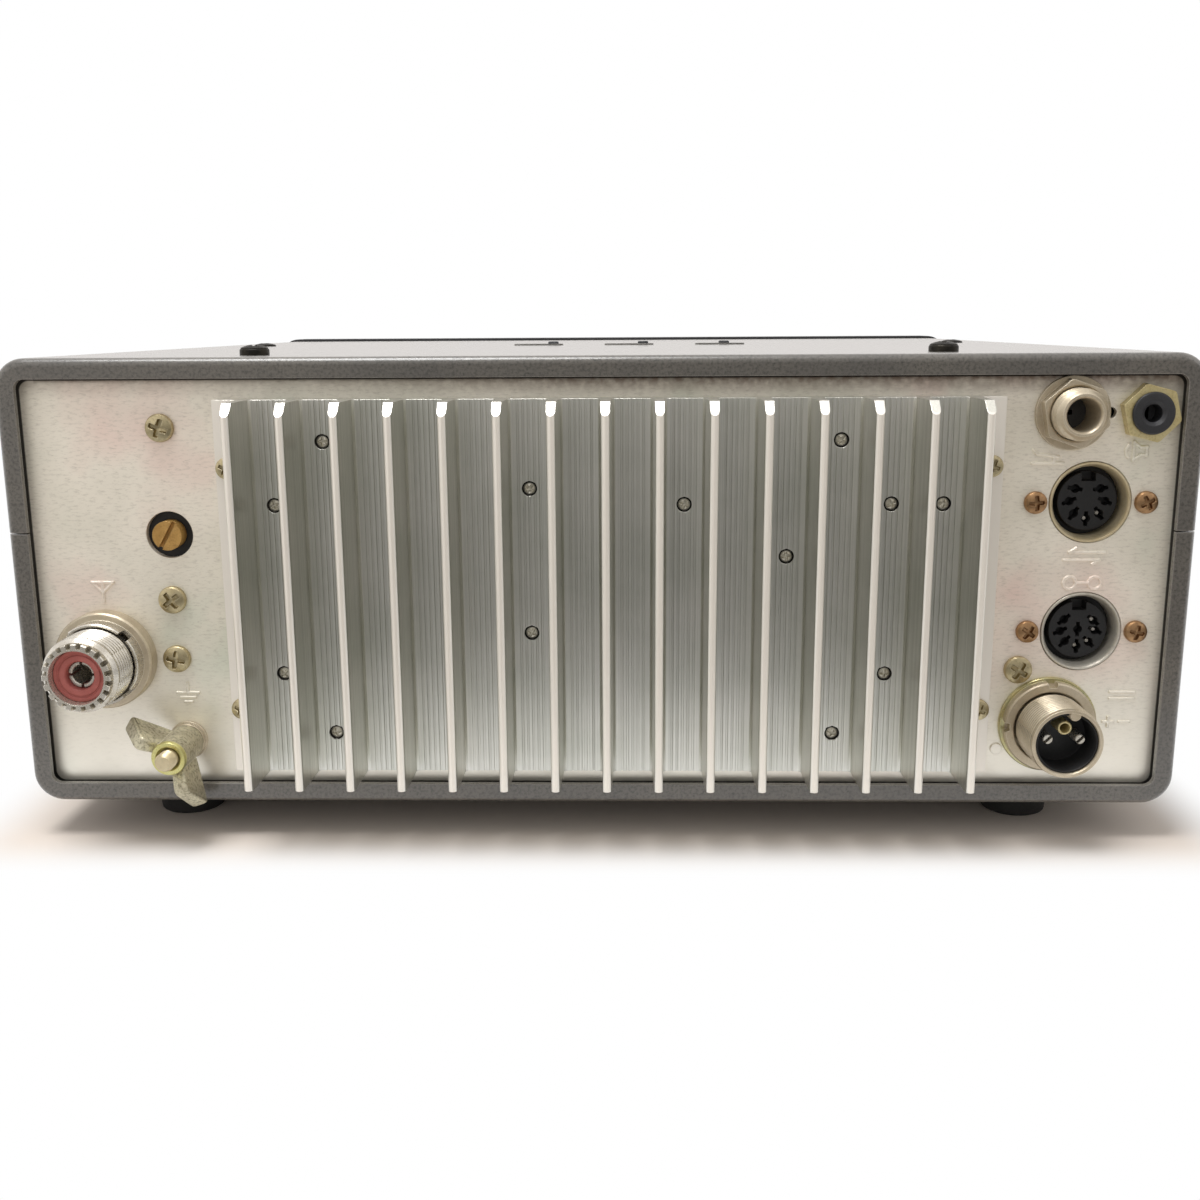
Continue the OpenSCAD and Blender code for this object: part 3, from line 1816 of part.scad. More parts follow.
upper_cover();
lower_cover();
rear_panel();
chassis_frame();
sub_panel();
front_panel();
rubber_feet();
cover_screws();
panel_screws();
heat_sink();
spreader_screws();
heat_spreader();
power_transistors();
antenna_shell();
antenna_insulator();
antenna_contact();
ring_nuts();
ground_stud();
wing_nut();
trimmer_body();
trimmer_shaft();
key_jack();
key_jack_nut();
ear_jack();
ear_jack_nut();
din_shells();
din_inserts();
din_screws();
inlet_shell();
inlet_insert();
inlet_pins();
slider_pots();
slider_left();
slider_middle();
slider_right();
tuning_knob();
tuning_shaft();
vernier_drive();
capacitor_rotor();
capacitor_frame();
band_knob();
mode_knob();
gain_knob();
ring_knob();
offset_knob();
control_pots();
button_one();
button_two();
button_three();
button_four();
button_switches();
meter_case();
meter_needle();
clear_windows();
display_module();
mic_socket();
phones_jack();
circuit_boards();
shield_cans();
loudspeaker();
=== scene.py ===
import json
import math

import bmesh
import bpy
import numpy as np
from mathutils import Matrix, Vector


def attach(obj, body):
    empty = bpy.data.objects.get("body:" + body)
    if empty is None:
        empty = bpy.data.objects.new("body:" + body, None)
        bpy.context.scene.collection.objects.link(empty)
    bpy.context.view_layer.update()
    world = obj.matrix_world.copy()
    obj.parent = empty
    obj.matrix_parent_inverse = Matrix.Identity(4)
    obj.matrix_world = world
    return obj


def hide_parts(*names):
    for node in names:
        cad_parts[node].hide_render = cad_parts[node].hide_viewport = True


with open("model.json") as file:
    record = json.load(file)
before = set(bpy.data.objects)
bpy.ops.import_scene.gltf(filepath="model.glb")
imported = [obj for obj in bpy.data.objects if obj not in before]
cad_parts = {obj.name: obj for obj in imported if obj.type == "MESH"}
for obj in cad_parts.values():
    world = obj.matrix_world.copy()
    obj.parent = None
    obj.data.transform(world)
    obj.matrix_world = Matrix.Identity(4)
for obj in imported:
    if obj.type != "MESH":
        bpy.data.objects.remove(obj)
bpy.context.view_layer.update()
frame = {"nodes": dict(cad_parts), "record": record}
nodes = frame["nodes"]
mm = 0.001
panelY = 118.5  # outer face of the rear plate
frontY = -113.5  # outer face of the front panel
print("frame:", len(nodes), "nodes")


# nodes and colours

def linear(hexText):
    # sRGB hex to linear by the piecewise sRGB curve
    c = np.array([int(hexText[i:i + 2], 16) for i in (1, 3, 5)]) / 255
    c = np.where(c <= 0.04045, c / 12.92, ((c + 0.055) / 1.055) ** 2.4)
    return (*c, 1.0)


def feed(tree, node, inputs):
    # inputs by name or number, or as a tuple in the sockets' order; each is another node (its live output),
    # a socket, a hex colour or a plain value
    for key, value in inputs.items() if isinstance(inputs, dict) else enumerate(inputs):
        if isinstance(value, bpy.types.Node):
            value = next(socket for socket in value.outputs if socket.enabled)
        if isinstance(value, bpy.types.NodeSocket):
            tree.links.new(value, node.inputs[key])
        else:
            node.inputs[key].default_value = linear(value) if isinstance(value, str) else value


def add(tree, kind, inputs=(), stops=(), **settings):
    # one node: its settings, its ramp stops and its inputs
    node = tree.nodes.new("ShaderNode" + kind)
    for key, value in settings.items():
        setattr(node, key, value)
    for spot, (place, colour) in enumerate(stops):
        ramp = node.color_ramp.elements
        stop = ramp[spot] if spot < 2 else ramp.new(place)
        stop.position, stop.color = place, linear(colour)
    feed(tree, node, inputs)
    return node


def mixed(tree, share, low, high):
    # two colours by their share
    return add(tree, "Mix", {0: share, 6: low, 7: high}, data_type="RGBA")


def noise(tree, place, size, detail, roughness=0.5):
    # its largest grains have the given size in mm
    return add(tree, "TexNoise", {
        "Vector": place, "Scale": 1000 / size, "Detail": detail, "Roughness": roughness})


def remap(tree, *values):
    # a value, the two ends it is measured between and, unless they are 0 and 1, what it becomes there
    return add(tree, "MapRange", values)


def number(tree, operation, *values):
    return add(tree, "Math", values, operation=operation)


def vector(tree, operation, *values):
    return add(tree, "VectorMath", values, operation=operation)


def beyond(tree, place, half):
    # distance from a box about the origin: |max(|place| - half, 0)|
    far = vector(tree, "SUBTRACT", vector(tree, "ABSOLUTE", place), half)
    return vector(tree, "LENGTH", vector(tree, "MAXIMUM", far, (0, 0, 0)))


def emptyTree(owner):
    owner.use_nodes = True
    owner.node_tree.nodes.clear()
    return owner.node_tree


def newMaterial(name):
    # a material with its shader, and the place in the object's own frame
    material = bpy.data.materials.new(name)
    tree = emptyTree(material)
    shader = add(tree, "BsdfPrincipled")
    add(tree, "OutputMaterial", {"Surface": shader})
    return material, tree, shader, add(tree, "TexCoord").outputs["Object"]


def finish(name, base, tint, fleck, edge=None, *, grain, cloud, rough, metal=0, bump=0.02, soft=0.25, rubAndSheen=0.3,
           flecks=0.5, flecksFrom=0.5, stretch=(1, 1, 1), coat=()):
    # cloud tint over the base colour, fine grain in colour, roughness and relief, edges softened and paled by
    # the edge colour, partly as wear and partly as a painted highlight;
    # grain, cloud, bump and soft are sizes in mm
    material, tree, shader, place = newMaterial(name)
    drawn = add(tree, "Mapping", {"Vector": place, "Scale": stretch})
    grit = noise(tree, drawn, grain, 3.0, 0.6)
    drift = noise(tree, place, cloud, 4.0, 0.55)
    drift = remap(tree, drift, 0.35, 0.65)
    colour = mixed(tree, drift, base, tint)
    spots = remap(tree, grit, flecksFrom, 0.75, 0, flecks)
    colour = mixed(tree, spots, colour, fleck)
    bevel = add(tree, "Bevel", {"Radius": soft * mm}, samples=4)
    flat = add(tree, "NewGeometry").outputs["Normal"]
    turn = vector(tree, "DOT_PRODUCT", bevel, flat)
    # painted highlight and wear: the edge colour goes where the bevel turns the normal
    wearAndHighlight = remap(tree, turn, 0.99, 0.8, 0, rubAndSheen)
    colour = mixed(tree, wearAndHighlight, colour, edge or fleck)
    gloss = remap(tree, grit, 0.3, 0.7, *rough)
    relief = add(tree, "Bump", {"Height": grit, "Distance": bump * mm, "Strength": 0.6, "Normal": bevel})
    feed(tree, shader, {"Base Color": colour, "Roughness": gloss, "Normal": relief, "Metallic": metal})
    feed(tree, shader, coat)
    return material


# stoving enamel on steel: warm dark grey, fine dark and light speckle, satin, paler at the edges, partly
# where they are handled and partly as a painted highlight
enamel = finish(
    "speckled stoving enamel", "#585550", "#625e57", "#262420", "#b0aba5", grain=0.65, cloud=18,
    rough=(0.28, 0.42), bump=0.14, soft=0.4, rubAndSheen=0.55, flecks=0.85, flecksFrom=0.44,
    coat={"Coat Weight": 1.0, "Coat Roughness": 0.24, "Coat IOR": 1.55})
# moulded ABS of the front: near black with a fine spark texture
bezelAbs = finish(
    "moulded black ABS", "#262628", "#2b2a2c", "#1b1b1d", "#3d3d40", grain=0.4, cloud=25,
    rough=(0.45, 0.62), bump=0.03, soft=0.6)
# nitrile rubber: matt, greyish bloom
footRubber = finish(
    "nitrile rubber", "#1c1c1c", "#262524", "#2e2d2b", grain=0.7, cloud=6, rough=(0.7, 0.9), bump=0.04,
    soft=0.5)
# black oxide on steel: dark, slightly oily, bright where the driver rubbed
blackOxide = finish(
    "black oxide steel", "#2a2928", "#38352f", "#1a1918", "#6b6862", grain=0.5, cloud=3, metal=1.0,
    rough=(0.35, 0.55), rubAndSheen=0.6, soft=0.15)
# zinc plate aged to a dull sandy yellow, dirt in the recess
dullZinc = finish(
    "aged zinc plate", "#c6b996", "#b3a582", "#7a6e56", "#eee5c8", grain=0.6, cloud=3, metal=1.0,
    rough=(0.3, 0.5), rubAndSheen=0.6, soft=0.15)
# fresh zinc plate of the small screws: silver white, a little warm
brightZinc = finish(
    "bright zinc plate", "#dcd8cc", "#cbc5b4", "#8d8878", "#f6f3ea", grain=0.4, cloud=2, metal=0.7,
    rough=(0.28, 0.42), rubAndSheen=0.5, soft=0.08, flecks=0.35)
# copper flash on steel screws: brown orange with dull patches
copperFlash = finish(
    "copper flashed steel", "#b08d69", "#9c7a58", "#70543b", "#d2ad84", grain=0.5, cloud=2.5, metal=1.0,
    rough=(0.32, 0.5), rubAndSheen=0.5, soft=0.15)
# bright nickel gone warm: soft beige reflections with faint stains
nickel = finish(
    "aged nickel plate", "#cfc3ad", "#bdb098", "#94876d", "#f2ead8", grain=0.5, cloud=5, metal=0.6,
    rough=(0.32, 0.48), rubAndSheen=0.8, soft=0.2, flecks=0.25)
# silver plate: bright and white with a little tarnish
silver = finish(
    "silver plate", "#dbd7ce", "#c9c3b7", "#9a9486", grain=0.5, cloud=4, metal=0.8, rough=(0.2, 0.34),
    soft=0.12, flecks=0.25)
# tarnish and dust packed in thread roots, and painted shade on the floors of the antenna's end notches: dull
# brown grey
tarnishAndShade = finish(
    "tarnish and notch shade", "#a8a192", "#938c7c", "#6a6455", grain=0.4, cloud=3, metal=0.6, rough=(0.5, 0.7),
    soft=0.05)
# hot tinned sheet of the coil cans and a socket's shell: soft, cloudy
tinPlate = finish(
    "tinned sheet", "#d6d2c8", "#c6c1b4", "#98938a", grain=1.2, cloud=9, metal=0.65, rough=(0.3, 0.46))
# tin plate with a yellow lacquer bloom
goldTin = finish(
    "yellowed tin plate", "#dacdae", "#c9ba96", "#a89f84", grain=0.6, cloud=4, metal=0.6, rough=(0.3, 0.46),
    soft=0.12, flecks=0.25)
# zinc die casting: grey green sand colour, grainy skin, paler on the crests, partly worn and partly a painted
# highlight
zincCasting = finish(
    "zinc die casting", "#d6d0b6", "#b9b199", "#6d6752", "#f4eedb", grain=0.6, cloud=4, metal=0.7,
    rough=(0.36, 0.6), bump=0.16, rubAndSheen=0.7, soft=0.4, flecks=0.85, flecksFrom=0.46)
# yellow passivated zinc on the wing nut's front
yellowZinc = finish(
    "yellow passivated zinc", "#e0dc9c", "#d3cb84", "#9a8f58", "#f1ecc4", grain=0.4, cloud=3, metal=0.9,
    rough=(0.25, 0.42), soft=0.12, flecks=0.3)
# chromate over nickel: gold turning green and pink by patches
goldChromate = finish(
    "gold chromate", "#d6c992", "#c3c19a", "#9c8a6a", "#ece1b4", grain=0.5, cloud=3.5, metal=1.0,
    rough=(0.24, 0.4), soft=0.15, flecks=0.35)
# turned brass, gone brown
brass = finish(
    "turned brass", "#b99a55", "#a07f3f", "#71572a", "#dcc284", grain=0.5, cloud=3, metal=1.0,
    rough=(0.25, 0.42), soft=0.12)
# thinly plated brass: pale beige, brass on the rubbed corners, which are also paled as a painted highlight
paleBrass = finish(
    "thinly plated brass", "#dccf9f", "#cdbd88", "#94855c", "#f6e9bd", grain=0.45, cloud=3, metal=0.6,
    rough=(0.28, 0.44), rubAndSheen=0.6, soft=0.15)
# brass gone golden brown, dull
agedBrass = finish(
    "tarnished brass", "#c29a58", "#ab8345", "#7a5a30", "#e6c98a", grain=0.4, cloud=2.5, metal=0.35,
    rough=(0.35, 0.5), rubAndSheen=0.6, soft=0.12)
# phenolic resin with wood flour: salmon brown, matt, fine darker flecks
phenolic = finish(
    "phenolic resin", "#b0605a", "#a2544d", "#8a4640", grain=0.35, cloud=3, rough=(0.45, 0.65), bump=0.03,
    soft=0.2)
# glass filled nylon of the small sockets: dark grey, satin
socketNylon = finish(
    "dark grey nylon", "#2e2f33", "#26272a", "#1a1a1c", "#4a4b50", grain=0.35, cloud=4, rough=(0.35, 0.55),
    soft=0.15)
# thermoset mouldings in the sockets: black, dull
blackMoulding = finish(
    "black thermoset", "#141415", "#1a1a1b", "#0c0c0d", "#2c2c2e", grain=0.4, cloud=4, rough=(0.45, 0.6),
    soft=0.15)
# knobs: satin phenolic, moulded
knobPhenolic = finish(
    "moulded knob phenolic", "#1d1d1f", "#242325", "#121213", "#3a3a3d", grain=0.5, cloud=8,
    rough=(0.32, 0.48), soft=0.3)
# push buttons: grey ABS polished by fingers
buttonAbs = finish(
    "polished grey ABS", "#6f6d69", "#787571", "#5d5b57", "#8c8984", grain=0.45, cloud=5, rough=(0.3, 0.45),
    soft=0.25)
# dial card: warm white lacquer on aluminium
dialLacquer = finish(
    "warm white dial lacquer", "#ece6d4", "#e4dcc6", "#d6cdb5", grain=0.6, cloud=14, rough=(0.5, 0.65),
    soft=0.15)
# screen ink of the front's ticks and pointers: matt, a little uneven
whiteInk = finish(
    "white screen ink", "#e6e4dc", "#dcd9cf", "#c6c3b8", grain=0.3, cloud=4, rough=(0.5, 0.65), soft=0.05)
# the same in black, on the meter scale
blackInk = finish(
    "black screen ink", "#1f1e1d", "#262524", "#141313", grain=0.3, cloud=4, rough=(0.5, 0.65), soft=0.05)
# needle lacquer: orange red, thin
redLacquer = finish(
    "orange red lacquer", "#c23a22", "#b2321c", "#8d2615", grain=0.3, cloud=3, rough=(0.35, 0.5), soft=0.08)
# filter glass of the counter window: nearly black
filterGlass = finish(
    "dark filter glass", "#101413", "#0c100f", "#080a0a", grain=0.6, cloud=12, rough=(0.3, 0.4), soft=0.2)
# lit segments of the counter: pale blue green
segmentGlow = finish(
    "phosphor segments", "#7fd8c4", "#6fcbb6", "#57b39f", grain=0.3, cloud=3, rough=(0.4, 0.5), soft=0.05)
# zinc plated sheet of the inner chassis: fine rolling lines along x
rolledSteel = finish(
    "rolled zinc sheet", "#b4b2aa", "#a8a598", "#8b887c", grain=0.5, cloud=12, metal=1.0, rough=(0.32, 0.5),
    stretch=(0.05, 1, 1))
# sheet aluminium of the capacitor: bright, with upright rolling lines
softAluminium = finish(
    "soft aluminium plate", "#c6c6c2", "#b9b9b4", "#9c9c97", grain=0.5, cloud=7, metal=1.0,
    rough=(0.25, 0.4), stretch=(1, 1, 0.08))
# glass epoxy board under green resist
boardResist = finish(
    "green solder resist", "#2f5b3a", "#376844", "#23462c", grain=1.6, cloud=5, rough=(0.25, 0.4))
# loudspeaker: doped paper, black and fibrous
speakerPaper = finish(
    "doped speaker paper", "#1b1a19", "#242220", "#31302d", grain=0.5, cloud=5, rough=(0.6, 0.8), bump=0.08)


def plateFinish():
    # zinc plated and passivated sheet: pale warm grey, mottled greenish and pinkish stains, fine grain drawn
    # out sideways, dark specks, a brown speckled band under the roof that is partly painted shade, a painted
    # shadow along the gap at its edge and a brighter foot that is a painted reflection of the floor
    material, tree, shader, place = newMaterial("passivated zinc sheet")
    spot = add(tree, "SeparateXYZ", (place,)).outputs
    cloud = noise(tree, place, 48, 4.0, 0.5)
    hues = add(tree, "ValToRGB", (cloud,), stops=[
        (0.34, "#cfdac8"), (0.68, "#f3dcd2"), (0.46, "#ece8da"), (0.56, "#f7f1e4")])
    rolled = add(tree, "Mapping", {"Vector": place, "Scale": (0.3, 1, 1)})
    grit = noise(tree, rolled, 0.5, 3.0, 0.7)
    shade = remap(tree, grit, 0.5, 0.8, 0, 0.45)
    colour = mixed(tree, shade, hues, "#8f8776")
    dots = noise(tree, place, 1.6, 2.0)
    specks = remap(tree, dots, 0.74, 0.8, 0, 0.3)
    colour = mixed(tree, specks, colour, "#70675a")
    # painted reflection: the foot is paled towards the white of the floor it mirrors
    foot = remap(tree, spot["Z"], 42 * mm, 14 * mm, 0, 0.85)
    colour = mixed(tree, foot, colour, "#fffaee")
    metal = remap(tree, foot, 0, 1, 0.4, 0.8)
    # the band is patchy, and darker towards the middle: partly a brown stain and partly painted shade under
    # the rim
    rise = remap(tree, spot["Z"], 93.5 * mm, 97 * mm, 0, 0.55)
    patch = remap(tree, dots, 0.3, 0.6, 0.6, 1)
    darker = remap(tree, spot["X"], 60 * mm, 0, 0.7, 1.6)
    patch = number(tree, "MULTIPLY", patch, darker)
    band = number(tree, "MULTIPLY", rise, patch)
    colour = mixed(tree, band, colour, "#7d6c60")
    # painted shadow of the gap between sheet and cover: dark outside a rectangle of 234.8 by 85.3 mm with 2
    # mm corners
    inset = vector(tree, "SUBTRACT", place, (0, 0, 54.65 * mm))
    inset = beyond(tree, inset, (115.4 * mm, 1, 40.65 * mm))
    gapShadow = remap(tree, inset, 2.0 * mm, 2.2 * mm, 0, 0.9)
    colour = mixed(tree, gapShadow, colour, "#12100f")
    rubbing = noise(tree, place, 9, 6.0, 0.7)
    gloss = remap(tree, rubbing, 0.3, 0.7, 0.3, 0.45)
    bevel = add(tree, "Bevel", {"Radius": 0.3 * mm}, samples=4)
    relief = add(tree, "Bump", {"Height": grit, "Distance": 0.02 * mm, "Strength": 0.5, "Normal": bevel})
    feed(tree, shader, {"Base Color": colour, "Roughness": gloss, "Normal": relief, "Metallic": metal})
    return material


def sinkFinish():
    # extruded aluminium, etched clear: soft grey, faint straight die lines along the fins, darkened as
    # painted shade in their grooves, a few darker stains, and whiter fin tips and flanges, a painted
    # highlight with some rubbing
    material, tree, shader, place = newMaterial("extruded clear aluminium")
    along = add(tree, "Mapping", {"Vector": place, "Scale": (1, 1, 0)})
    lines = noise(tree, along, 0.5, 2.0, 0.6)
    cloud = noise(tree, place, 16, 5.0, 0.6)
    hues = add(tree, "ValToRGB", (cloud,), stops=[(0.32, "#dfdfd6"), (0.68, "#efede6"), (0.5, "#e8e7df")])
    # painted shade: the die lines are darkened in colour as if shaded in their grooves
    shade = remap(tree, lines, 0.38, 0.7, 0, 0.5)
    colour = mixed(tree, shade, hues, "#bebdb5")
    spot = add(tree, "SeparateXYZ", (place,)).outputs
    # painted highlight with some rubbing: the fin tips and the flanges are whitened
    tips = remap(tree, spot["Y"], 134.9 * mm, 135.4 * mm)
    aside = number(tree, "SUBTRACT", spot["X"], -2.3 * mm)
    aside = number(tree, "ABSOLUTE", aside)
    flanges = remap(tree, aside, 74.6 * mm, 74.9 * mm)
    wearAndHighlight = number(tree, "MAXIMUM", tips, flanges)
    colour = mixed(tree, wearAndHighlight, colour, "#f8f3ea")
    metal = remap(tree, wearAndHighlight, 0, 1, 1, 0.45)
    gloss = remap(tree, lines, 0.3, 0.7, 0.3, 0.4)
    bevel = add(tree, "Bevel", {"Radius": 0.2 * mm}, samples=4)
    relief = add(tree, "Bump", {"Height": lines, "Distance": 0.02 * mm, "Strength": 0.4, "Normal": bevel})
    feed(tree, shader, {"Base Color": colour, "Roughness": gloss, "Normal": relief, "Metallic": metal})
    return material


def acrylicFinish():
    # cast acrylic window: clear, very slightly smoky, hairline scratches in the gloss
    material, tree, shader, place = newMaterial("cast acrylic")
    hair = noise(tree, place, 2.5, 6.0, 0.75)
    gloss = remap(tree, hair, 0.4, 0.7, 0.02, 0.09)
    colour = mixed(tree, hair, "#f4f5f3", "#e9ecea")
    feed(tree, shader, {"Base Color": colour, "Roughness": gloss, "Transmission Weight": 1.0, "IOR": 1.49})
    return material


plateZinc, sinkAluminium, acrylic = plateFinish(), sinkFinish(), acrylicFinish()
slotFinish = {
    "case_paint": enamel, "passivated_steel": plateZinc, "plain_steel": rolledSteel,
    "bezel_plastic": bezelAbs, "foot_rubber": footRubber, "black_screw": blackOxide,
    "zinc_screw": dullZinc, "copper_screw": copperFlash, "sink_aluminium": sinkAluminium,
    "rotor_aluminium": softAluminium, "nickel_plate": nickel, "silver_plate": silver,
    "tin_plate": tinPlate, "zinc_casting": zincCasting, "brass": brass, "phenolic": phenolic,
    "black_plastic": socketNylon, "knob_plastic": knobPhenolic, "button_plastic": buttonAbs,
    "dial_white": dialLacquer, "needle_red": redLacquer, "clear_acrylic": acrylic,
    "display_dark": filterGlass, "board_green": boardResist, "speaker_black": speakerPaper}
nodeSlot = {row["node"]: row["material_slot"] for row in frame["record"]["subparts"]}
ownFinish = {"trimmer_shaft": agedBrass, "trimmer_body": blackMoulding, "mic_socket": silver,
             "phones_jack": silver}
for nodeName, nodeObject in nodes.items():
    nodeObject.data.materials.clear()
    nodeObject.data.materials.append(ownFinish.get(nodeName, slotFinish[nodeSlot[nodeName]]))
print("finishes:", len(slotFinish))


# surfaces as whole arrays

def gridFaces(rows, cols, loop=False):
    # quads of a grid numbered row by row; columns always close, rows close when loop is set
    i, j = np.meshgrid(np.arange(rows if loop else rows - 1), np.arange(cols), indexing="ij")
    i2, j2 = (i + 1) % rows, (j + 1) % cols
    return np.stack([i * cols + j, i * cols + j2, i2 * cols + j2, i2 * cols + j], -1).reshape(-1, 4)


def stand(u, v, w, at, along):
    # local (u, v) across and w along the piece's axis, y or z with its sign, to the object's frame
    x, y, z = at
    w = -w if along[0] == "-" else w
    corners = [x + u, y + w, z + v] if along[1] == "y" else [x + u, y + v, z + w]
    return np.stack(corners, -1).reshape(-1, 3)


def turned(profile, count, at, along="+y", shape=None, loop=False):
    # profile of (radius, height) carried round an axis: (r cos a, r sin a, h); shape(r, h, a) bends the grid
    profile = np.array(profile, float)
    a = np.broadcast_to(np.linspace(0, 2 * np.pi, count, endpoint=False), (len(profile), count))
    r = np.repeat(profile[:, :1], count, 1)
    h = np.repeat(profile[:, 1:2], count, 1)
    if shape:
        r, h = shape(r, h, a)
    return stand(r * np.cos(a), r * np.sin(a), h, at, along), gridFaces(len(profile), count, loop)


def sector(profile, start, stop, count, at):
    # a closed profile of (radius, height) carried through part of a turn, both cut faces capped
    profile = np.array(profile, float)
    a = np.radians(np.linspace(start, stop, count))
    rows = len(profile)
    h = np.repeat(profile[:, 1:2], count, 1)
    i, j = np.meshgrid(np.arange(rows), np.arange(count - 1), indexing="ij")
    i2 = (i + 1) % rows
    faces = np.stack([i * count + j, i * count + j + 1, i2 * count + j + 1, i2 * count + j], -1)
    faces = faces.reshape(-1, 4).tolist()
    faces += [[k * count for k in range(rows)], [k * count + count - 1 for k in range(rows)]]
    return stand(profile[:, :1] * np.cos(a), profile[:, :1] * np.sin(a), h, at, "+y"), faces


def ringed(halfW, halfH, corner, levels, at, along="+y", count=64):
    # rounded rectangle, a quarter round set off into each corner, drawn in and lifted level by level:
    # (inset, height)
    a = np.linspace(0, 2 * np.pi, count, endpoint=False)
    c, s = np.cos(a), np.sin(a)
    levels = np.array(levels, float)
    inset = levels[:, :1]
    w, h = np.maximum(halfW - inset, 0), np.maximum(halfH - inset, 0)
    k = np.minimum(np.minimum(np.maximum(corner - inset, 0.02), w), h)
    u, v = np.sign(c) * (w - k) + k * c, np.sign(s) * (h - k) + k * s
    lift = np.repeat(levels[:, 1:2], count, 1)
    return stand(u, v, lift, at, along), gridFaces(len(levels), count)


def stroke(path, width, height, at, along="+y"):
    # a low rounded ridge: a five point section carried along a flat path, closed at both ends
    p = np.array(path, float)
    t = np.gradient(p, axis=0)
    t /= np.maximum(np.linalg.norm(t, axis=1, keepdims=True), 1e-9)
    p[0] -= t[0] * width / 2
    p[-1] += t[-1] * width / 2
    n = np.stack([-t[:, 1], t[:, 0]], -1)
    section = np.array([[-0.5, -0.3], [-0.42, 0.6], [0, 1], [0.42, 0.6], [0.5, -0.3]])
    uv = p[:, None] + n[:, None] * (section[:, 0] * width)[None, :, None]
    lift = np.broadcast_to(section[:, 1] * height, uv.shape[:2])
    faces = [list(f) for f in gridFaces(len(p), 5)]
    faces += [[4, 3, 2, 1, 0], [5 * (len(p) - 1) + k for k in range(5)]]
    return stand(uv[..., 0], uv[..., 1], lift, at, along), faces


def arcPath(cx, cy, radius, start, stop, count=17):
    # points of a circle between two angles in degrees
    a = np.radians(np.linspace(start, stop, count))
    return np.stack([cx + radius * np.cos(a), cy + radius * np.sin(a)], -1)


def corner(r, h, radius, start, stop, count=5):
    # quarter round for a profile, centred at (r, h)
    a = np.radians(np.linspace(start, stop, count))
    return [(r + radius * math.cos(t), h + radius * math.sin(t)) for t in a]


def numeral(text, size, at, along, thickness=0.06):
    # a plain number from the built-in face, made a mesh and laid on its surface
    curve = bpy.data.curves.new("numeral", "FONT")
    curve.body, curve.size, curve.extrude = text, size, thickness
    curve.align_x, curve.align_y, curve.resolution_u = "CENTER", "CENTER", 3
    holder = bpy.data.objects.new("numeral", curve)
    mesh = bpy.data.meshes.new_from_object(holder)
    flat = np.zeros(len(mesh.vertices) * 3)
    mesh.vertices.foreach_get("co", flat)
    flat = flat.reshape(-1, 3)
    faces = [list(p.vertices) for p in mesh.polygons]
    bpy.data.objects.remove(holder)
    bpy.data.curves.remove(curve)
    bpy.data.meshes.remove(mesh)
    return stand(flat[:, 0], flat[:, 1], flat[:, 2], at, along), faces


def addPiece(name, parts, finishes, node=None, body="case", sharp=38):
    # joins parts of (points in mm, faces, finish number or one per face), merges doubles and turns faces out;
    # the piece takes the given finishes and rides the given body, and a node it stands for is hidden
    points, faces, picks, start = [], [], [], 0
    for part in parts:
        points.append(part[0])
        faces += [[int(v) + start for v in f] for f in part[1]]
        picks += np.broadcast_to(part[2] if len(part) > 2 else 0, len(part[1])).tolist()
        start += len(part[0])
    mesh = bpy.data.meshes.new(name)
    mesh.from_pydata((np.concatenate(points) * mm).tolist(), [], faces)
    mesh.polygons.foreach_set("material_index", np.array(picks, np.int32))
    work = bmesh.new()
    work.from_mesh(mesh)
    bmesh.ops.remove_doubles(work, verts=work.verts, dist=1e-7)
    bmesh.ops.dissolve_degenerate(work, edges=work.edges, dist=1e-8)
    bmesh.ops.recalc_face_normals(work, faces=work.faces)
    work.to_mesh(mesh)
    work.free()
    mesh.shade_smooth()
    mesh.set_sharp_from_angle(angle=math.radians(sharp))
    for material in finishes:
        mesh.materials.append(material)
    piece = bpy.data.objects.new(name, mesh)
    bpy.context.scene.collection.objects.link(piece)
    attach(piece, body)
    if node:
        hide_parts(node)


def box01(distance, half, soft):
    # 1 inside |distance| < half, falling to 0 over soft
    return np.clip((half - np.abs(distance)) / soft + 0.5, 0, 1)


def ridge(h, a, pitch):
    # a thread's 60 degree ridge that climbs one pitch a turn, 0 on the crest and 1 in the root:
    # |2 frac(h / pitch - a / 2 pi) - 1|
    return np.abs(2 * ((h / pitch - a / (2 * np.pi)) % 1) - 1)


def fromFlat(a, turn=0):
    # angle from the middle of a hexagon's nearest flat
    return (a - turn + np.pi / 6) % (np.pi / 3) - np.pi / 6


# screws

def screwHead(at, along, lean, radius, side, crown, cross, shank, length, nut=None):
    # pan head: round skirt, quarter round shoulder, parabolic crown less a cross of two tapering slots
    size, slotWidth, depth = cross
    shoulder = min(0.45, side * 0.5)
    profile = [(0, -length), (shank, -length), (shank, 0), (radius, 0), (radius, side - shoulder)]
    profile += corner(radius - shoulder, side - shoulder, shoulder, 25, 70, 3)
    profile += [(radius * f, side + crown * (1 - f * f)) for f in np.linspace(0.93, 0, 20)]

    def recess(r, h, a):
        u, v = r * np.cos(a - lean), r * np.sin(a - lean)
        width = slotWidth * (1 - 0.35 * r / size)
        hole = np.maximum(box01(u, size / 2, 0.12) * box01(v, width / 2, 0.1),
                          box01(v, size / 2, 0.12) * box01(u, width / 2, 0.1))
        bowl = depth * (1 - 0.45 * np.clip(r / (size / 2), 0, 1))
        return r, np.where(h > side * 0.8, h - hole * bowl, h)

    def hexagon(r, h, a):
        return np.where(r > shank * 1.2, r / np.cos(fromFlat(a)), r), h

    parts = [turned(profile, 72, at, along, recess)]
    if nut:
        across, start, thick = nut
        hole, half = shank * 1.02, across / 2
        ring = [(hole, -start), (half, -start), (half, -start - thick), (hole, -start - thick)]
        parts.append(turned(ring, 48, at, along, hexagon, loop=True))
    return parts


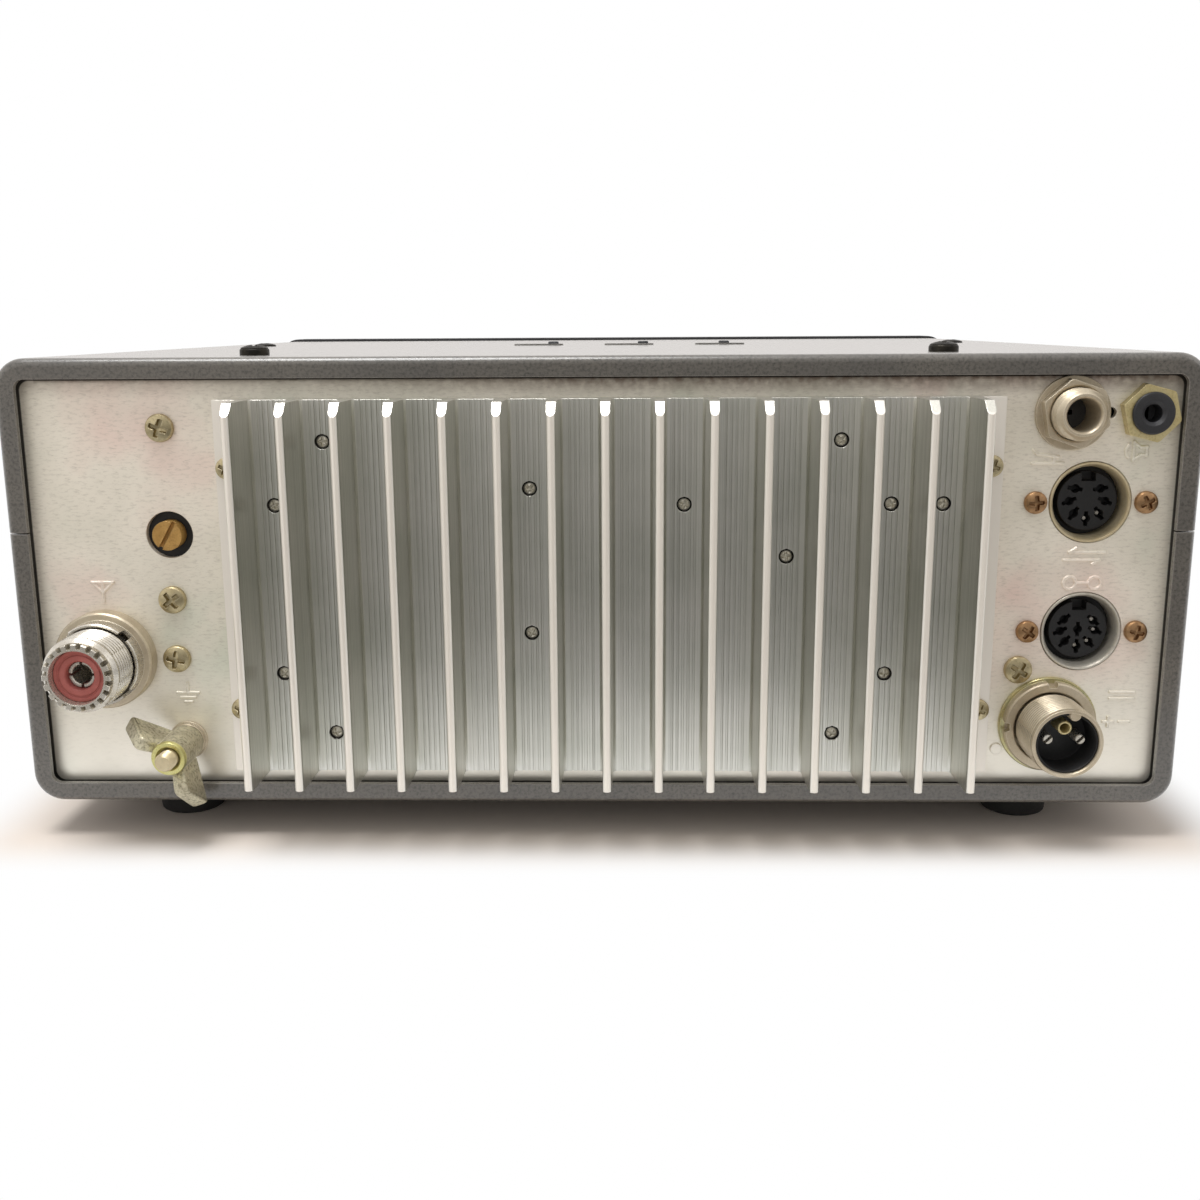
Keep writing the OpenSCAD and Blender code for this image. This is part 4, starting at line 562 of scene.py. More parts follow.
plateScrews = {
    "head": {"radius": 2.9, "side": 1.1, "crown": 0.75, "cross": (3.7, 1.0, 1.4), "shank": 1.5, "length": 4.5,
             "nut": (5.5, 1.7, 2.4)},
    "places": [(89.1, 87.8, 0.35), (89.1, 51.9, 0.9), (89.1, 39.1, 0.2), (-88.1, 36.8, 0.55)]}
flangeScrews = {
    "head": {"radius": 2.2, "side": 0.9, "crown": 0.6, "cross": (2.7, 0.75, 0.9), "shank": 1.25, "length": 7},
    "xs": (74.64, -79.24), "zs": (79.9, 29.3), "seat": 122.5, "lean": 0.4}
parts = []
for x, z, lean in plateScrews["places"]:
    parts += screwHead((x, panelY, z), "+y", lean, **plateScrews["head"])
for x in flangeScrews["xs"]:
    for z in flangeScrews["zs"]:
        parts += screwHead((x, flangeScrews["seat"], z), "+y", flangeScrews["lean"], **flangeScrews["head"])
addPiece("plate_screws", parts, [dullZinc], "panel_screws")

multiX, multiZs = -100.65, (72.0, 45.0)  # the two multi-pin sockets
socketScrews = {
    "head": {"radius": 2.3, "side": 1.1, "crown": 0.75, "cross": (2.9, 0.8, 1.2), "shank": 1.5,
             "length": 4.5}, "half": 11.15}
parts = []
for k, z in enumerate(multiZs):
    for side in (-1, 1):
        parts += screwHead((multiX + side * socketScrews["half"], panelY, z), "+y", 0.5 + 0.7 * k + side,
                           **socketScrews["head"])
addPiece("socket_screws", parts, [copperFlash], "din_screws")

# small screws between the fins, each ringed by a thin dark ring that paints the shadow of its recess:
# (channel, height from the middle row)
sinkScrews = {
    "head": {"radius": 1.3, "side": 0.75, "crown": 0.4, "cross": (1.75, 0.5, 0.7), "shank": 0.9, "length": 6},
    "gap": [(1.25, 0.1), (1.25, 1.1), (1.53, 1.1), (1.53, 0.1)],
    "seat": 121.1, "channels": 14, "pitch": 10.42, "middle": -2.3, "row": 54.6,
    "places": [(1, 30.6), (11, 30.6), (1, -30.6), (11, -30.6), (0, 17.7), (8, 17.7), (12, 17.7), (13, 17.7),
               (0, -17.7), (12, -17.7), (5, 21), (10, 7), (5, -9)]}
parts = []
for k, (channel, rise) in enumerate(sinkScrews["places"]):
    x = sinkScrews["middle"] + ((sinkScrews["channels"] - 1) / 2 - channel) * sinkScrews["pitch"]
    at = (x, sinkScrews["seat"], sinkScrews["row"] + rise)
    parts += screwHead(at, "+y", 0.7 * k, **sinkScrews["head"])
    # painted shadow: a black ring round each head stands for the shade of its recess
    parts.append(turned(sinkScrews["gap"], 48, at, loop=True) + (1,))
addPiece("sink_screws", parts, [brightZinc, blackOxide], "spreader_screws")

coverScrews = {
    "head": {"radius": 3.1, "shank": 1.5, "length": 5}, "seats": ((102, "+z"), (8, "-z")),
    "rear": {"side": 1.4, "crown": 0.8, "cross": (3.7, 1.0, 1.2)},
    "mid": {"side": 0.4, "crown": 0.55, "cross": (3.7, 0.9, 0.8)},
    "places": [(73, 103.5, "rear"), (-73, 103.5, "rear"), (100.5, -3.5, "mid"), (-100.5, -3.5, "mid")]}
parts = []
for k, (x, y, key) in enumerate(coverScrews["places"]):
    for z, along in coverScrews["seats"]:
        parts += screwHead((x, y, z), along, 0.4 + k, **coverScrews["head"], **coverScrews[key])
addPiece("cover_screw_heads", parts, [blackOxide], "cover_screws")
print("screws done")


# rear sockets and posts

def threadedBarrel(shell, at, ending, shape=None):
    # closed profile of a panel socket's shell; its thread fades in and out over half a millimetre
    radius, neck, bore, flange, pitch, depth, start, stop, tip = (shell[key] for key in (
        "radius", "neck", "bore", "flange", "pitch", "depth", "start", "stop", "tip"))
    profile = [(bore, -4), (flange, -4), (flange, -1.5), (neck, -1.5), (neck, start - 0.01)]
    profile += [(radius, h) for h in np.arange(start, stop, pitch / 8)]
    profile += [(radius, stop), *ending, (bore, tip - 0.3)]

    def bend(r, h, a):
        fade = np.clip((h - start) / 0.5, 0, 1) * np.clip((stop - h) / 0.5, 0, 1)
        inThread = (r > radius - 1e-6) & (h >= start) & (h <= stop)
        r = np.where(inThread, r - depth * ridge(h - start, a, pitch) * fade - 0.15 * (1 - fade), r)
        return shape(r, h, a) if shape else (r, h)

    # grime, the second finish, sits in the thread's roots as tarnish and on the floors of notches in the end,
    # partly tarnish and partly painted shade
    points, faces = turned(profile, 320, at, "+y", bend, loop=True)
    x, h, z = (points[faces].mean(1) - np.array(at)).T
    r = np.hypot(x, z)
    root = (h > start) & (h < stop) & (r > bore + 0.4) & (r < radius - 0.55 * depth)
    floor = (h > tip - 1.7) & (h < tip - 0.6) & (r > bore + 0.43) & (r < radius - 0.97)
    return points, faces, (root | floor).astype(int)


antenna = {"x": 103.8, "z": 39.4, "radius": 7.94, "neck": 6.94, "bore": 5.5, "flange": 9.14, "pitch": 1.06,
           "depth": 0.5, "start": 7.0, "stop": 14.6, "tip": 17.0, "tipRadius": 7.0, "teeth": 20,
           "toothDepth": 1.3, "toothWall": 5.95}
antennaAt = (antenna["x"], panelY, antenna["z"])


def antennaTeeth(r, h, a):
    # radial notches across the end ring, leaving a thin inner wall
    phase = (a * antenna["teeth"] / (2 * np.pi)) % 1
    notch = box01(phase - 0.5, 0.19, 0.08)
    edge = (h > antenna["tip"] - 0.4) & (r > antenna["toothWall"] + 0.03)
    return r, np.where(edge, h - antenna["toothDepth"] * notch, h)


tip, tipR, wall = antenna["tip"], antenna["tipRadius"], antenna["toothWall"]
endRing = [(tipR + 0.2, tip - 1.8), (tipR, tip - 1.55), (tipR, tip - 0.18), (tipR - 0.18, tip), (6.4, tip),
           (5.99, tip), (wall, tip), (5.65, tip)]
addPiece("antenna_barrel", [threadedBarrel(antenna, antennaAt, endRing, antennaTeeth)], [silver, tarnishAndShade],
         "antenna_shell", sharp=30)

# insulator face: flat with one shallow ring groove, slightly dished at the contact
face = tip - 1.8
disc = [(2.9, -6.5), (5.45, -6.5), (5.45, face - 0.15), (5.3, face), (4.75, face), (4.6, face - 0.22),
        (4.3, face - 0.22), (4.15, face), (3.2, face), (2.95, face - 0.2), (2.9, face - 0.4)]
addPiece("antenna_disc", [turned(disc, 96, antennaAt, loop=True)], [phenolic], "antenna_insulator")

# centre contact: a tube whose end is split into four springs
sleeve = [(0, 0), (2.0, 0), (2.0, 9.1), (2.85, 9.1), (2.85, -6.5), (4.05, -6.5), (4.05, -8), (1.4, -8),
          (1.4, -11.5), (0, -11.5)]
petal = [(2.0, 9.0), (2.85, 9.0), (2.85, tip - 3.25), (2.65, tip - 3), (2.2, tip - 3), (2.0, tip - 3.2)]
petals = [sector(petal, 90 * k + 7, 90 * k + 83, 16, antennaAt) for k in range(4)]
addPiece("antenna_spring", [turned(sleeve, 64, antennaAt)] + petals, [silver], "antenna_contact")

# antenna nut: a flange and a collar with four slots; inlet nut: a flange notched for a pin spanner
antennaNut = {"bore": 8.09, "slotRing": 8.5, "slotHalf": 1, "slotFloor": 4.2}
inletNut = {"outer": 10.2, "bore": 7.5, "inner": 8.5, "low": 0.95, "high": 3.0, "notch": 2.2}
inlet = {"x": -94.9, "z": 25.0, "radius": 7.35, "neck": 6.75, "bore": 6.3, "flange": 8.55, "pitch": 0.9,
         "depth": 0.36, "start": 3.0, "stop": 13.5, "tip": 14.0, "face": 7.0}
inletAt = (inlet["x"], panelY, inlet["z"])


def slotted(r, h, a):
    # the collar drops to its root within half a slot of a diagonal
    off = (a % (np.pi / 2) - np.pi / 4) * antennaNut["slotRing"]
    return r, np.where(np.abs(off) < antennaNut["slotHalf"], np.minimum(h, antennaNut["slotFloor"]), h)


def notched(r, h, a):
    # four square notches above the flange's foot
    off = ((a + np.pi / 4) % (np.pi / 2) - np.pi / 4) * inletNut["outer"]
    cut = (np.abs(off) < inletNut["notch"] / 2) & (h > inletNut["low"] + 0.05) & (r > inletNut["inner"])
    return np.where(cut, inletNut["inner"], r), h


bore = antennaNut["bore"]
nutFlange = [(bore, 0), (10.2, 0), (10.35, 0.15), (10.35, 3.2), (10.0, 3.6), (bore, 3.6)]
nutCollar = [(bore, 3.5), (8.8, 3.5), (8.8, 6.75), (8.55, 7.0), (8.25, 7.0), (bore, 6.85)]
outer, bore, low, high = (inletNut[k] for k in ("outer", "bore", "low", "high"))
flange = [(bore, 0), (outer - 0.1, 0), (outer, 0.12), (outer, low - 0.15), (outer - 0.15, low + 0.05),
          (bore, low + 0.05)]
ring = [(bore, low), (outer - 0.6, low), (outer - 0.6, low + 0.1), (outer - 0.6, high - 0.3),
        (outer - 0.9, high), (bore + 0.3, high), (bore, high - 0.3)]
addPiece("ring_nut_pair", [turned(nutFlange, 96, antennaAt, loop=True) + (1,),
                           turned(nutCollar, 288, antennaAt, "+y", slotted, loop=True),
                           turned(flange, 96, inletAt, loop=True) + (2,),
                           turned(ring, 288, inletAt, "+y", notched, loop=True) + (1,)],
         [silver, nickel, goldChromate], "ring_nuts", sharp=30)

tip, face = inlet["tip"], inlet["face"]
inletEnd = [(inlet["radius"] - 0.25, tip - 0.05), (inlet["radius"] - 0.4, tip), (inlet["bore"] + 0.2, tip)]
addPiece("inlet_barrel", [threadedBarrel(inlet, inletAt, inletEnd)], [nickel, tarnishAndShade], "inlet_shell", sharp=30)
# body with a thin lining up the cup, and a half round metal key inside the rim
plug = [(0, -7.5), (6.25, -7.5), (6.25, 13.4), (5.95, 13.5), (5.8, 13.3), (5.75, face + 0.2), (5.6, face),
        (0, face)]
keyRib = [(0, 6.0), (1.2, 6.0), (1.2, 13.6), (1.0, 13.9), (0, 13.9)]
keyAt = (inlet["x"] - 1.2, panelY, inlet["z"] + 5.9)
addPiece("inlet_core", [turned(plug, 72, inletAt), turned(keyRib, 32, keyAt) + (1,)], [blackMoulding, nickel],
         "inlet_insert")

contacts = {"half": 3.25, "pinUp": 0.2, "tubeUp": 2.6, "end": 11.5, "slotDepth": 2.2, "slotHalf": 0.22}


def splitPin(r, h, a):
    # a slot across the pin's end, falling at 45 degrees
    slot = box01(r * np.sin(a + np.pi / 4), contacts["slotHalf"], 0.08)
    return r, np.where(h > contacts["end"] - 0.3, h - contacts["slotDepth"] * slot, h)


end = contacts["end"]
pinRows = [(0, -10.5), (1.05, -10.5), (1.05, end - 0.2)] + [(r, end) for r in np.linspace(0.9, 0, 14)]
tube = [(0, -10.5), (1.45, -10.5), (1.45, end - 0.2), (1.3, end), (1.05, end), (0.95, end - 0.2),
        (0.95, 6.5), (0, 6.5)]
parts, z = [], inlet["z"] + contacts["pinUp"]
for x in (inlet["x"] - contacts["half"], inlet["x"] + contacts["half"]):
    parts.append(turned(pinRows, 96, (x, panelY, z), "+y", splitPin))
parts.append(turned(tube, 48, (inlet["x"], panelY, inlet["z"] + contacts["tubeUp"])) + (1,))
addPiece("inlet_contacts", parts, [silver, paleBrass], "inlet_pins", sharp=30)

# ground post: threaded stud, plain and spring washer, and the wing nut on it
ground = {"x": 87.9, "z": 21.2, "stud": 2.0, "tip": 16.4, "pitch": 0.75, "depth": 0.36, "threadFrom": 1.6}
groundAt = (ground["x"], panelY, ground["z"])


def studThread(r, h, a):
    # the stud is threaded between the washers and its tip
    onThread = (np.abs(r - ground["stud"]) < 0.01) & (h > ground["threadFrom"])
    return np.where(onThread, r - ground["depth"] * ridge(h, a, ground["pitch"]), r), h


washers = [(2, -4.5), (4.1, -4.5), (4.1, -1.5), (2.05, -1.5), (2.05, 0), (3.95, 0), (4.1, 0.1), (4.1, 0.7),
           (3.95, 0.8), (3.6, 0.82), (3.7, 0.9), (3.7, 1.4), (3.6, 1.5), (2, 1.5)]
tip, radius = ground["tip"], ground["stud"]
stud = [(0, -4.4), (radius, -4.4)] + [(radius, h) for h in np.arange(1.7, tip - 0.6, 0.09)]
stud += [(1.5, tip), (0, tip)]
parts = [turned(stud, 72, groundAt, "+y", studThread), turned(washers, 72, groundAt, loop=True) + (1,)]
addPiece("ground_post", parts, [goldTin, nickel], "ground_stud", sharp=30)

wing = {"turns": ((31, 1.0), (-108, 1.1)),
        "outline": [(2.4, 2.3), (10.8, 6.6), (11.6, 7.2), (11.5, 8.0), (7.4, 13.2), (6.2, 13.6), (2.4, 11.0)],
        "edge": [(0.7, -1.5), (0.3, -1.42), (0.1, -1.2), (0, -0.8), (0, 0.8), (0.1, 1.2), (0.3, 1.42),
                 (0.7, 1.5)]}


def castWing(turn, reach):
    # a plate holding the axis: its outline in (radius, height), smoothed, is drawn in at both faces along a
    # rounded edge, and the plate thickens towards its end
    p = np.array(wing["outline"], float) * (reach, 1)
    p = np.concatenate([np.linspace(a, b, 9)[:-1] for a, b in zip(p, np.roll(p, -1, 0))])
    for _ in range(3):
        p = 0.5 * p + 0.25 * (np.roll(p, 1, 0) + np.roll(p, -1, 0))
    t = np.roll(p, -1, 0) - np.roll(p, 1, 0)
    n = np.stack([t[:, 1], -t[:, 0]], -1) / np.linalg.norm(t, axis=1, keepdims=True)
    levels = np.array(wing["edge"])
    q = p[None] - n[None] * levels[:, None, :1]
    across = levels[:, 1:] * (0.8 + 0.35 * q[..., 0] / 12)
    c, s = math.cos(math.radians(turn)), math.sin(math.radians(turn))
    count = len(p)
    faces = [list(f) for f in gridFaces(len(levels), count)]
    faces += [list(range(count)), list(range((len(levels) - 1) * count, len(levels) * count))]
    return stand(q[..., 0] * c - across * s, q[..., 0] * s + across * c, q[..., 1], groundAt, "+y"), faces


hub = [(2.06, 1.8), (3.45, 1.8), (3.7, 2.1), (3.7, 5.0), (3.6, 9.0), (3.5, 12.4), (2.06, 12.4)]
rimFront = [(2.06, 12.3), (3.6, 12.3), (3.65, 12.8), (3.4, 13.3), (2.6, 13.3), (2.06, 12.6)]
parts = [turned(hub, 64, groundAt, loop=True)] + [castWing(*t) for t in wing["turns"]]
parts.append(turned(rimFront, 64, groundAt, loop=True) + (1,))
addPiece("wing_casting", parts, [zincCasting, yellowZinc], "wing_nut", "wing", sharp=50)


# jacks: bush, washer and chamfered nut

def hexNut(across, turn, low, high, bore, at):
    # hexagon r = across / 2 / cos(angle from the flat), trimmed by a chamfer circle at the outer face
    half = across / 2

    def sixSided(r, h, a):
        flat = half / np.cos(fromFlat(a, np.radians(turn)))
        trim = np.where(h > low + 0.2, half * 1.12 + (high - h) * 1.5, 99)
        return np.where(r > bore + 0.4, np.minimum(trim, flat) - (half - r), r), h

    ring = [(bore, low), (half, low), (half, high - 0.9), (half, high - 0.6), (half, high - 0.3),
            (half, high), (bore + 0.35, high), (bore, high - 0.3)]
    return turned(ring, 144, at, "+y", sixSided, loop=True)


keyJack = {"x": -95.75, "z": 90.1, "bush": 5.2, "bore": 3.25, "tip": 7.5, "pitch": 0.75, "depth": 0.3,
           "threadFrom": 3.2, "nut": (12.2, 49, 0.8, 3.4, 5.35)}
keyAt = (keyJack["x"], panelY, keyJack["z"])


def keyThread(r, h, a):
    # fine thread on the bush in front of its nut
    onThread = (r > keyJack["bush"] - 0.01) & (h > keyJack["threadFrom"])
    return np.where(onThread, r - keyJack["depth"] * ridge(h, a, keyJack["pitch"]), r), h


radius, bore, tip = keyJack["bush"], keyJack["bore"], keyJack["tip"]
bush = [(bore, -25), (radius, -25), (radius, 3.1)] + [(radius, h) for h in np.arange(3.3, 6.3, 0.09)]
bush += [(4.6, 6.7), (4.35, 7.3), (4.15, tip), (3.7, tip), (3.4, 7.2), (bore, 6.8)]
body = [(6.5, -27.5), (0.4, -27.5), (0, -27.1), (0, -1.9), (0.4, -1.5), (6.5, -1.5)]
addPiece("key_bush", [turned(bush, 120, keyAt, "+y", keyThread, loop=True)], [nickel], "key_jack", sharp=30)
addPiece("key_body", [ringed(7, 7, 0.8, body, keyAt)], [socketNylon])
washer = [(5.35, 0), (7.4, 0), (7.5, 0.1), (7.5, 0.7), (7.4, 0.8), (5.35, 0.8)]
addPiece("key_nut", [turned(washer, 96, keyAt, loop=True), hexNut(*keyJack["nut"], keyAt)], [nickel],
         "key_jack_nut", sharp=30)

earJack = {"x": -111.0, "z": 90.1, "bore": 1.78, "nut": (10.5, 45, 0, 2.2, 3.35)}
earAt, bore = (earJack["x"], panelY, earJack["z"]), earJack["bore"]
bush = [(bore, -15.5), (3.2, -15.5), (3.2, 2.2), (4.1, 2.2)] + corner(3.85, 2.6, 0.4, -20, 90)
bush += [(2.5, 3.0), (2.15, 2.7), (bore, 2.4)]
body = [(4.5, -17.5), (0.4, -17.5), (0, -17.1), (0, -1.9), (0.4, -1.5), (4.5, -1.5)]
addPiece("ear_bush", [turned(bush, 96, earAt, loop=True), ringed(5, 6, 0.8, body, earAt)], [socketNylon],
         "ear_jack")
addPiece("ear_nut", [hexNut(*earJack["nut"], earAt)], [paleBrass], "ear_jack_nut", sharp=30)

# multi-pin sockets: a dished metal ring round a disc with slotted holes, a key notch above and a moat
# round it; a hole is (angle of its place, lean of its slot), and clips numbers the holes whose spring shows
pins = {"disc": 6.05, "circle": 3.65, "face": -1.8, "depth": 2.2, "hole": 0.82, "slot": (1.45, 0.32),
        "holes": ([(-90 + 45 * k, -90 + 33 * k) for k in range(-3, 4)],
                  [(35, 139), (-6, 155), (-46, 132), (270, 90), (228, 45), (184, 25), (148.5, 41)]),
        "middle": ([], [(0, 0, math.pi / 2)]), "clips": ((2, 3), (3, 4, 5, 6)), "ears": 11.2}
clip = [(0, -4.2), (0.5, -4.2), (0.5, -3.2), (0.35, -3.0), (0, -3.0)]
ring = [(7.1, -11.5), (8.25, -11.5), (8.25, 0.1), (8.15, 0.25), (7.85, 0.3), (7.6, 0.0), (7.35, -0.7),
        (7.15, -1.7), (7.1, -2.2)]
ear = [(3.5, -2.5), (0, -2.5), (0, -1.5), (3.5, -1.5)]
parts, rings = [], []
for k, z in enumerate(multiZs):
    at = (multiX, panelY, z)
    holes = [(pins["circle"] * math.cos(math.radians(p)), pins["circle"] * math.sin(math.radians(p)),
              math.radians(q)) for p, q in pins["holes"][k]] + pins["middle"][k]

    def keyholes(r, h, a, holes=holes):
        # union of round holes with a slot across each, and a square notch at the top that runs into the moat
        u, v = r * np.cos(a), r * np.sin(a)
        cut = box01(u, 1.35, 0.12) * box01(v - 6.0, 1.8, 0.12)
        for x, y, lean in holes:
            along = (u - x) * np.cos(lean) + (v - y) * np.sin(lean)
            off = (v - y) * np.cos(lean) - (u - x) * np.sin(lean)
            hole = np.clip((pins["hole"] - np.hypot(along, off)) / 0.12 + 0.5, 0, 1)
            slot = box01(along, pins["slot"][0], 0.12) * box01(off, pins["slot"][1], 0.1)
            cut = np.maximum(cut, np.maximum(hole, slot))
        return r, np.where(h > pins["face"] - 0.2, h - pins["depth"] * cut, h)

    rows = [(r, pins["face"]) for r in np.linspace(0, pins["disc"] - 0.1, 60)]
    rows += [(pins["disc"], pins["face"] - 0.12), (pins["disc"], -4.4), (7.05, -4.4), (7.05, -11.5),
             (0, -11.5)]
    parts.append(turned(rows, 260, at, "+y", keyholes))
    for n in pins["clips"][k]:
        parts.append(turned(clip, 16, (at[0] + holes[n][0], at[1], at[2] + holes[n][1])) + (1,))
    rings.append(turned(ring, 96, at, loop=True) + (k,))
    for side in (-1, 1):
        rings.append(ringed(3.0, 3.5, 1.8, ear, (at[0] + side * pins["ears"], at[1], at[2])) + (k,))
addPiece("pin_inserts", parts, [blackMoulding, silver], "din_inserts", sharp=30)
addPiece("socket_rings", rings, [goldTin, tinPlate], "din_shells", sharp=30)
print("rear sockets done")


# pressed signs on the rear plate, each at (x, z) with its strokes

signs = {"width": 0.7, "height": 0.4, "places": {
    "aerial": (103.8, 53.6, [[(0, -2), (0, 2)], [(-2.2, 2), (0, -0.2)], [(2.2, 2), (0, -0.2)],
                             [(-2.2, 2), (2.2, 2)]]),
    "earth": (87.4, 31.6, [[(0, 2), (0, 0)], [(-2.2, 0), (2.2, 0)], [(-1.4, -1), (1.4, -1)],
                           [(-0.6, -2), (0.6, -2)]]),
    "key": (-91.5, 80.9, [[(-3, -0.9), (3, -0.9)], [(-2, 0.4), (2.2, 1.0)], [(2.2, 1.0), (2.9, 1.7)],
                          [(-1.2, -0.9), (-1.2, 0.5)]]),
    "loudspeaker": (-109.4, 82.4, [[(-1.8, -0.8), (-1.8, 0.8)], [(-1.8, 0.8), (-0.6, 0.8)],
                                   [(-0.6, 0.8), (0.8, 1.8)], [(0.8, 1.8), (0.8, -1.8)],
                                   [(0.8, -1.8), (-0.6, -0.8)], [(-0.6, -0.8), (-1.8, -0.8)],
                                   arcPath(0.9, 0, 1.5, -50, 50, 9)]),
    "in and out": (-100.2, 60.9, [[(-4, 0.8), (3, 0.8)], [(3, 0.8), (1.8, 1.6)], [(4, -0.8), (-3, -0.8)],
                                  [(-3, -0.8), (-1.8, -1.6)]]),
    "link": (-100.2, 55.3, [arcPath(-2.6, 0, 1.3, 0, 352, 28), arcPath(2.6, 0, 1.3, 0, 352, 28),
                            [(-1.2, 0), (1.2, 0)]]),
    "direct current": (-110.2, 31.2, [[(-2.4, 0.7), (2.4, 0.7)], [(-2.4, -0.7), (-1.3, -0.7)],
                                      [(-0.6, -0.7), (0.6, -0.7)], [(1.3, -0.7), (2.4, -0.7)]]),
    "poles": (-109.4, 25.4, [[(-2.6, 0), (-0.8, 0)], [(1.7, -0.9), (1.7, 0.9)], [(0.8, 0), (2.6, 0)]])}}
parts = [stroke(path, signs["width"], signs["height"], (x, panelY, z))
         for x, z, paths in signs["places"].values() for path in paths]
addPiece("pressed_signs", parts, [plateZinc], sharp=60)
print("signs done")


# roof sliders, feet

slider = {"y": 4.5, "top": 102, "xs": {"left": 15.0, "middle": -10.7, "right": -33.8},
          "lever": [(0.7, -8.7), (0, -8.7), (0, 0.75), (0.12, 1.0), (0.3, 1.1), (0.7, 1.1)]}
for key, x in slider["xs"].items():
    lever = ringed(1.5, 0.7, 0.25, slider["lever"], (x, slider["y"], slider["top"]), "+z")
    addPiece("slide_tab_" + key[0], [lever], [socketNylon], "slider_" + key, "slider_" + key[0])

feet = {"places": [(94, 101.5), (-94, 101.5), (94, -83.5), (-94, -83.5)]}
foot = [(0, 3.0), (2.6, 3.0), (2.9, 2.7), (3.1, 0.5), (3.6, 0.1)] + corner(6.1, 0.9, 0.9, -90, -10) + [
    (7.6, 6.5), (8.0, 7.6), (8.0, 8.0), (2.4, 8.0), (2.4, 10.4), (3.2, 10.6), (2.2, 12.4), (0, 12.4)]
parts = [turned(foot, 72, (x, y, 0), "+z") for x, y in feet["places"]]
addPiece("foot_set", parts, [footRubber], "rubber_feet")
print("roof and feet done")


# front controls

tuning = {"x": 4, "z": 41, "skirt": 24, "crown": 21.5, "depth": 21, "face": 20.8, "ribs": 90, "rib": 0.35,
          "dimple": (8.3, 8.3, 7.0, 4)}
tuneAt = (tuning["x"], frontY - 1, tuning["z"])


def tuneShape(r, h, a):
    # ribs round the crown, and a finger dimple in the face: the cap of a ball whose centre stands off it
    rib = tuning["rib"] * np.abs(np.sin(a * tuning["ribs"] / 2)) ** 1.5
    r = np.where((r > tuning["crown"] - 0.3) & (h > 5.4) & (h < 19.6), r - rib, r)
    du, dv, ball, off = tuning["dimple"]
    far = np.hypot(r * np.cos(a) - du, r * np.sin(a) - dv)
    dish = np.sqrt(np.clip(ball ** 2 - far ** 2, 0, None)) - off
    return r, np.where((h > 20) & (r < 18), h - np.clip(dish, 0, None) * 0.98, h)


skirt, crown, depth, face = (tuning[key] for key in ("skirt", "crown", "depth", "face"))
tune = [(3.05, 0), (23.6, 0), (skirt, 0.4), (skirt, 3.8), (23.6, 4.6), (22.2, 5.0), (crown, 5.3)]
tune += [(crown, h) for h in (5.6, *np.linspace(6, 19.2, 8), 19.5)] + corner(20.1, 19.6, 1.4, 0, 90, 6)
tune += [(18.6, depth), (18.3, face), (18.0, face)] + [(r, face) for r in np.linspace(17.5, 0.0, 48)]
addPiece("tuning_wheel", [turned(tune, 360, tuneAt, "-y", tuneShape)], [knobPhenolic], "tuning_knob",
         "tuning", sharp=30)


def flutedKnob(at, skirt, crown, flutes, depth, skirtDepth, shaft, tail):
    # skirt, then a crown whose radius dips flutes times a turn, closed by a rounded face; the spindle behind
    def flute(r, h, a):
        dip = 0.55 * np.clip(np.cos(a * flutes), 0, 1) ** 0.7
        return np.where((h > skirtDepth + 0.5) & (h < depth - 0.9) & (r > crown * 0.9), r - dip, r), h

    rows = [(0, -tail), (shaft, -tail), (shaft, 0), (skirt - 0.3, 0), (skirt, 0.3), (skirt, skirtDepth - 0.5),
            (skirt - 0.5, skirtDepth), (crown + 0.2, skirtDepth + 0.2), (crown, skirtDepth + 0.6)]
    rows += [(crown, h) for h in np.linspace(skirtDepth + 1, depth - 1.2, 6)]
    rows += corner(crown - 0.9, depth - 0.9, 0.9, 0, 90, 6) + [(crown - 1.6, depth - 0.15), (0, depth - 0.15)]
    return turned(rows, 216, at, "-y", flute)


def knurl(radius, low, high, count, dip):
    # count ridges round a grip between two heights
    def shape(r, h, a):
        grip = (r > radius - 0.1) & (h > low) & (h < high)
        return np.where(grip, r - dip * np.abs(np.sin(a * count)) ** 1.4, r), h
    return shape


def pointer(at, start, stop, height):
    path = [(0, start), (0, (start + stop) / 2), (0, stop)]
    return stroke(path, 0.9, 0.1, (at[0], at[1] - height, at[2]), "-y") + (1,)


# three fluted knobs: (x, z, skirt, crown, flutes)
knobs = {"band": (92, 76, 11.5, 9.5, 18), "mode": (92, 42, 11.5, 9.5, 18), "offset": (58, 76, 9.5, 7.5, 14)}
knobSize = {"depth": 15, "skirtDepth": 3, "shaft": 3, "tail": 24.5}
for key, (x, z, skirt, crown, flutes) in knobs.items():
    at = (x, frontY - 1, z)
    parts = [flutedKnob(at, skirt, crown, flutes, **knobSize),
             pointer(at, 2.5, crown - 1.6, knobSize["depth"] - 0.1)]
    addPiece(key + "_grip", parts, [knobPhenolic, whiteInk], key + "_knob", key, sharp=30)

# gain knob with a ring behind it on the same axis
gainAt = (58, frontY - 1, 42)
inner = [(0, -27.5), (1.9, -27.5), (1.9, 6.5), (6.7, 6.5), (7, 6.8)]
inner += [(7, h) for h in np.linspace(7.2, 14, 6)]
inner += corner(6.2, 14.2, 0.8, 0, 90, 5) + [(5.4, 14.85), (0, 14.85)]
parts = [turned(inner, 216, gainAt, "-y", knurl(7, 7, 14.1, 18, 0.3)), pointer(gainAt, 2.0, 5.4, 14.9)]
addPiece("gain_grip", parts, [knobPhenolic, whiteInk], "gain_knob", "gain", sharp=30)
outer = [(1.96, -22), (3.5, -22), (3.5, 0), (9.7, 0), (10, 0.3)]
outer += [(10, h) for h in np.linspace(0.8, 5.2, 5)]
outer += corner(9.4, 5.4, 0.6, 0, 90, 4) + [(7.6, 6), (7.4, 5.85), (1.96, 5.85)]
parts = [turned(outer, 288, gainAt, "-y", knurl(10, 0.6, 5.3, 24, 0.35), loop=True),
         pointer(gainAt, 7.9, 9.2, 6.0)]
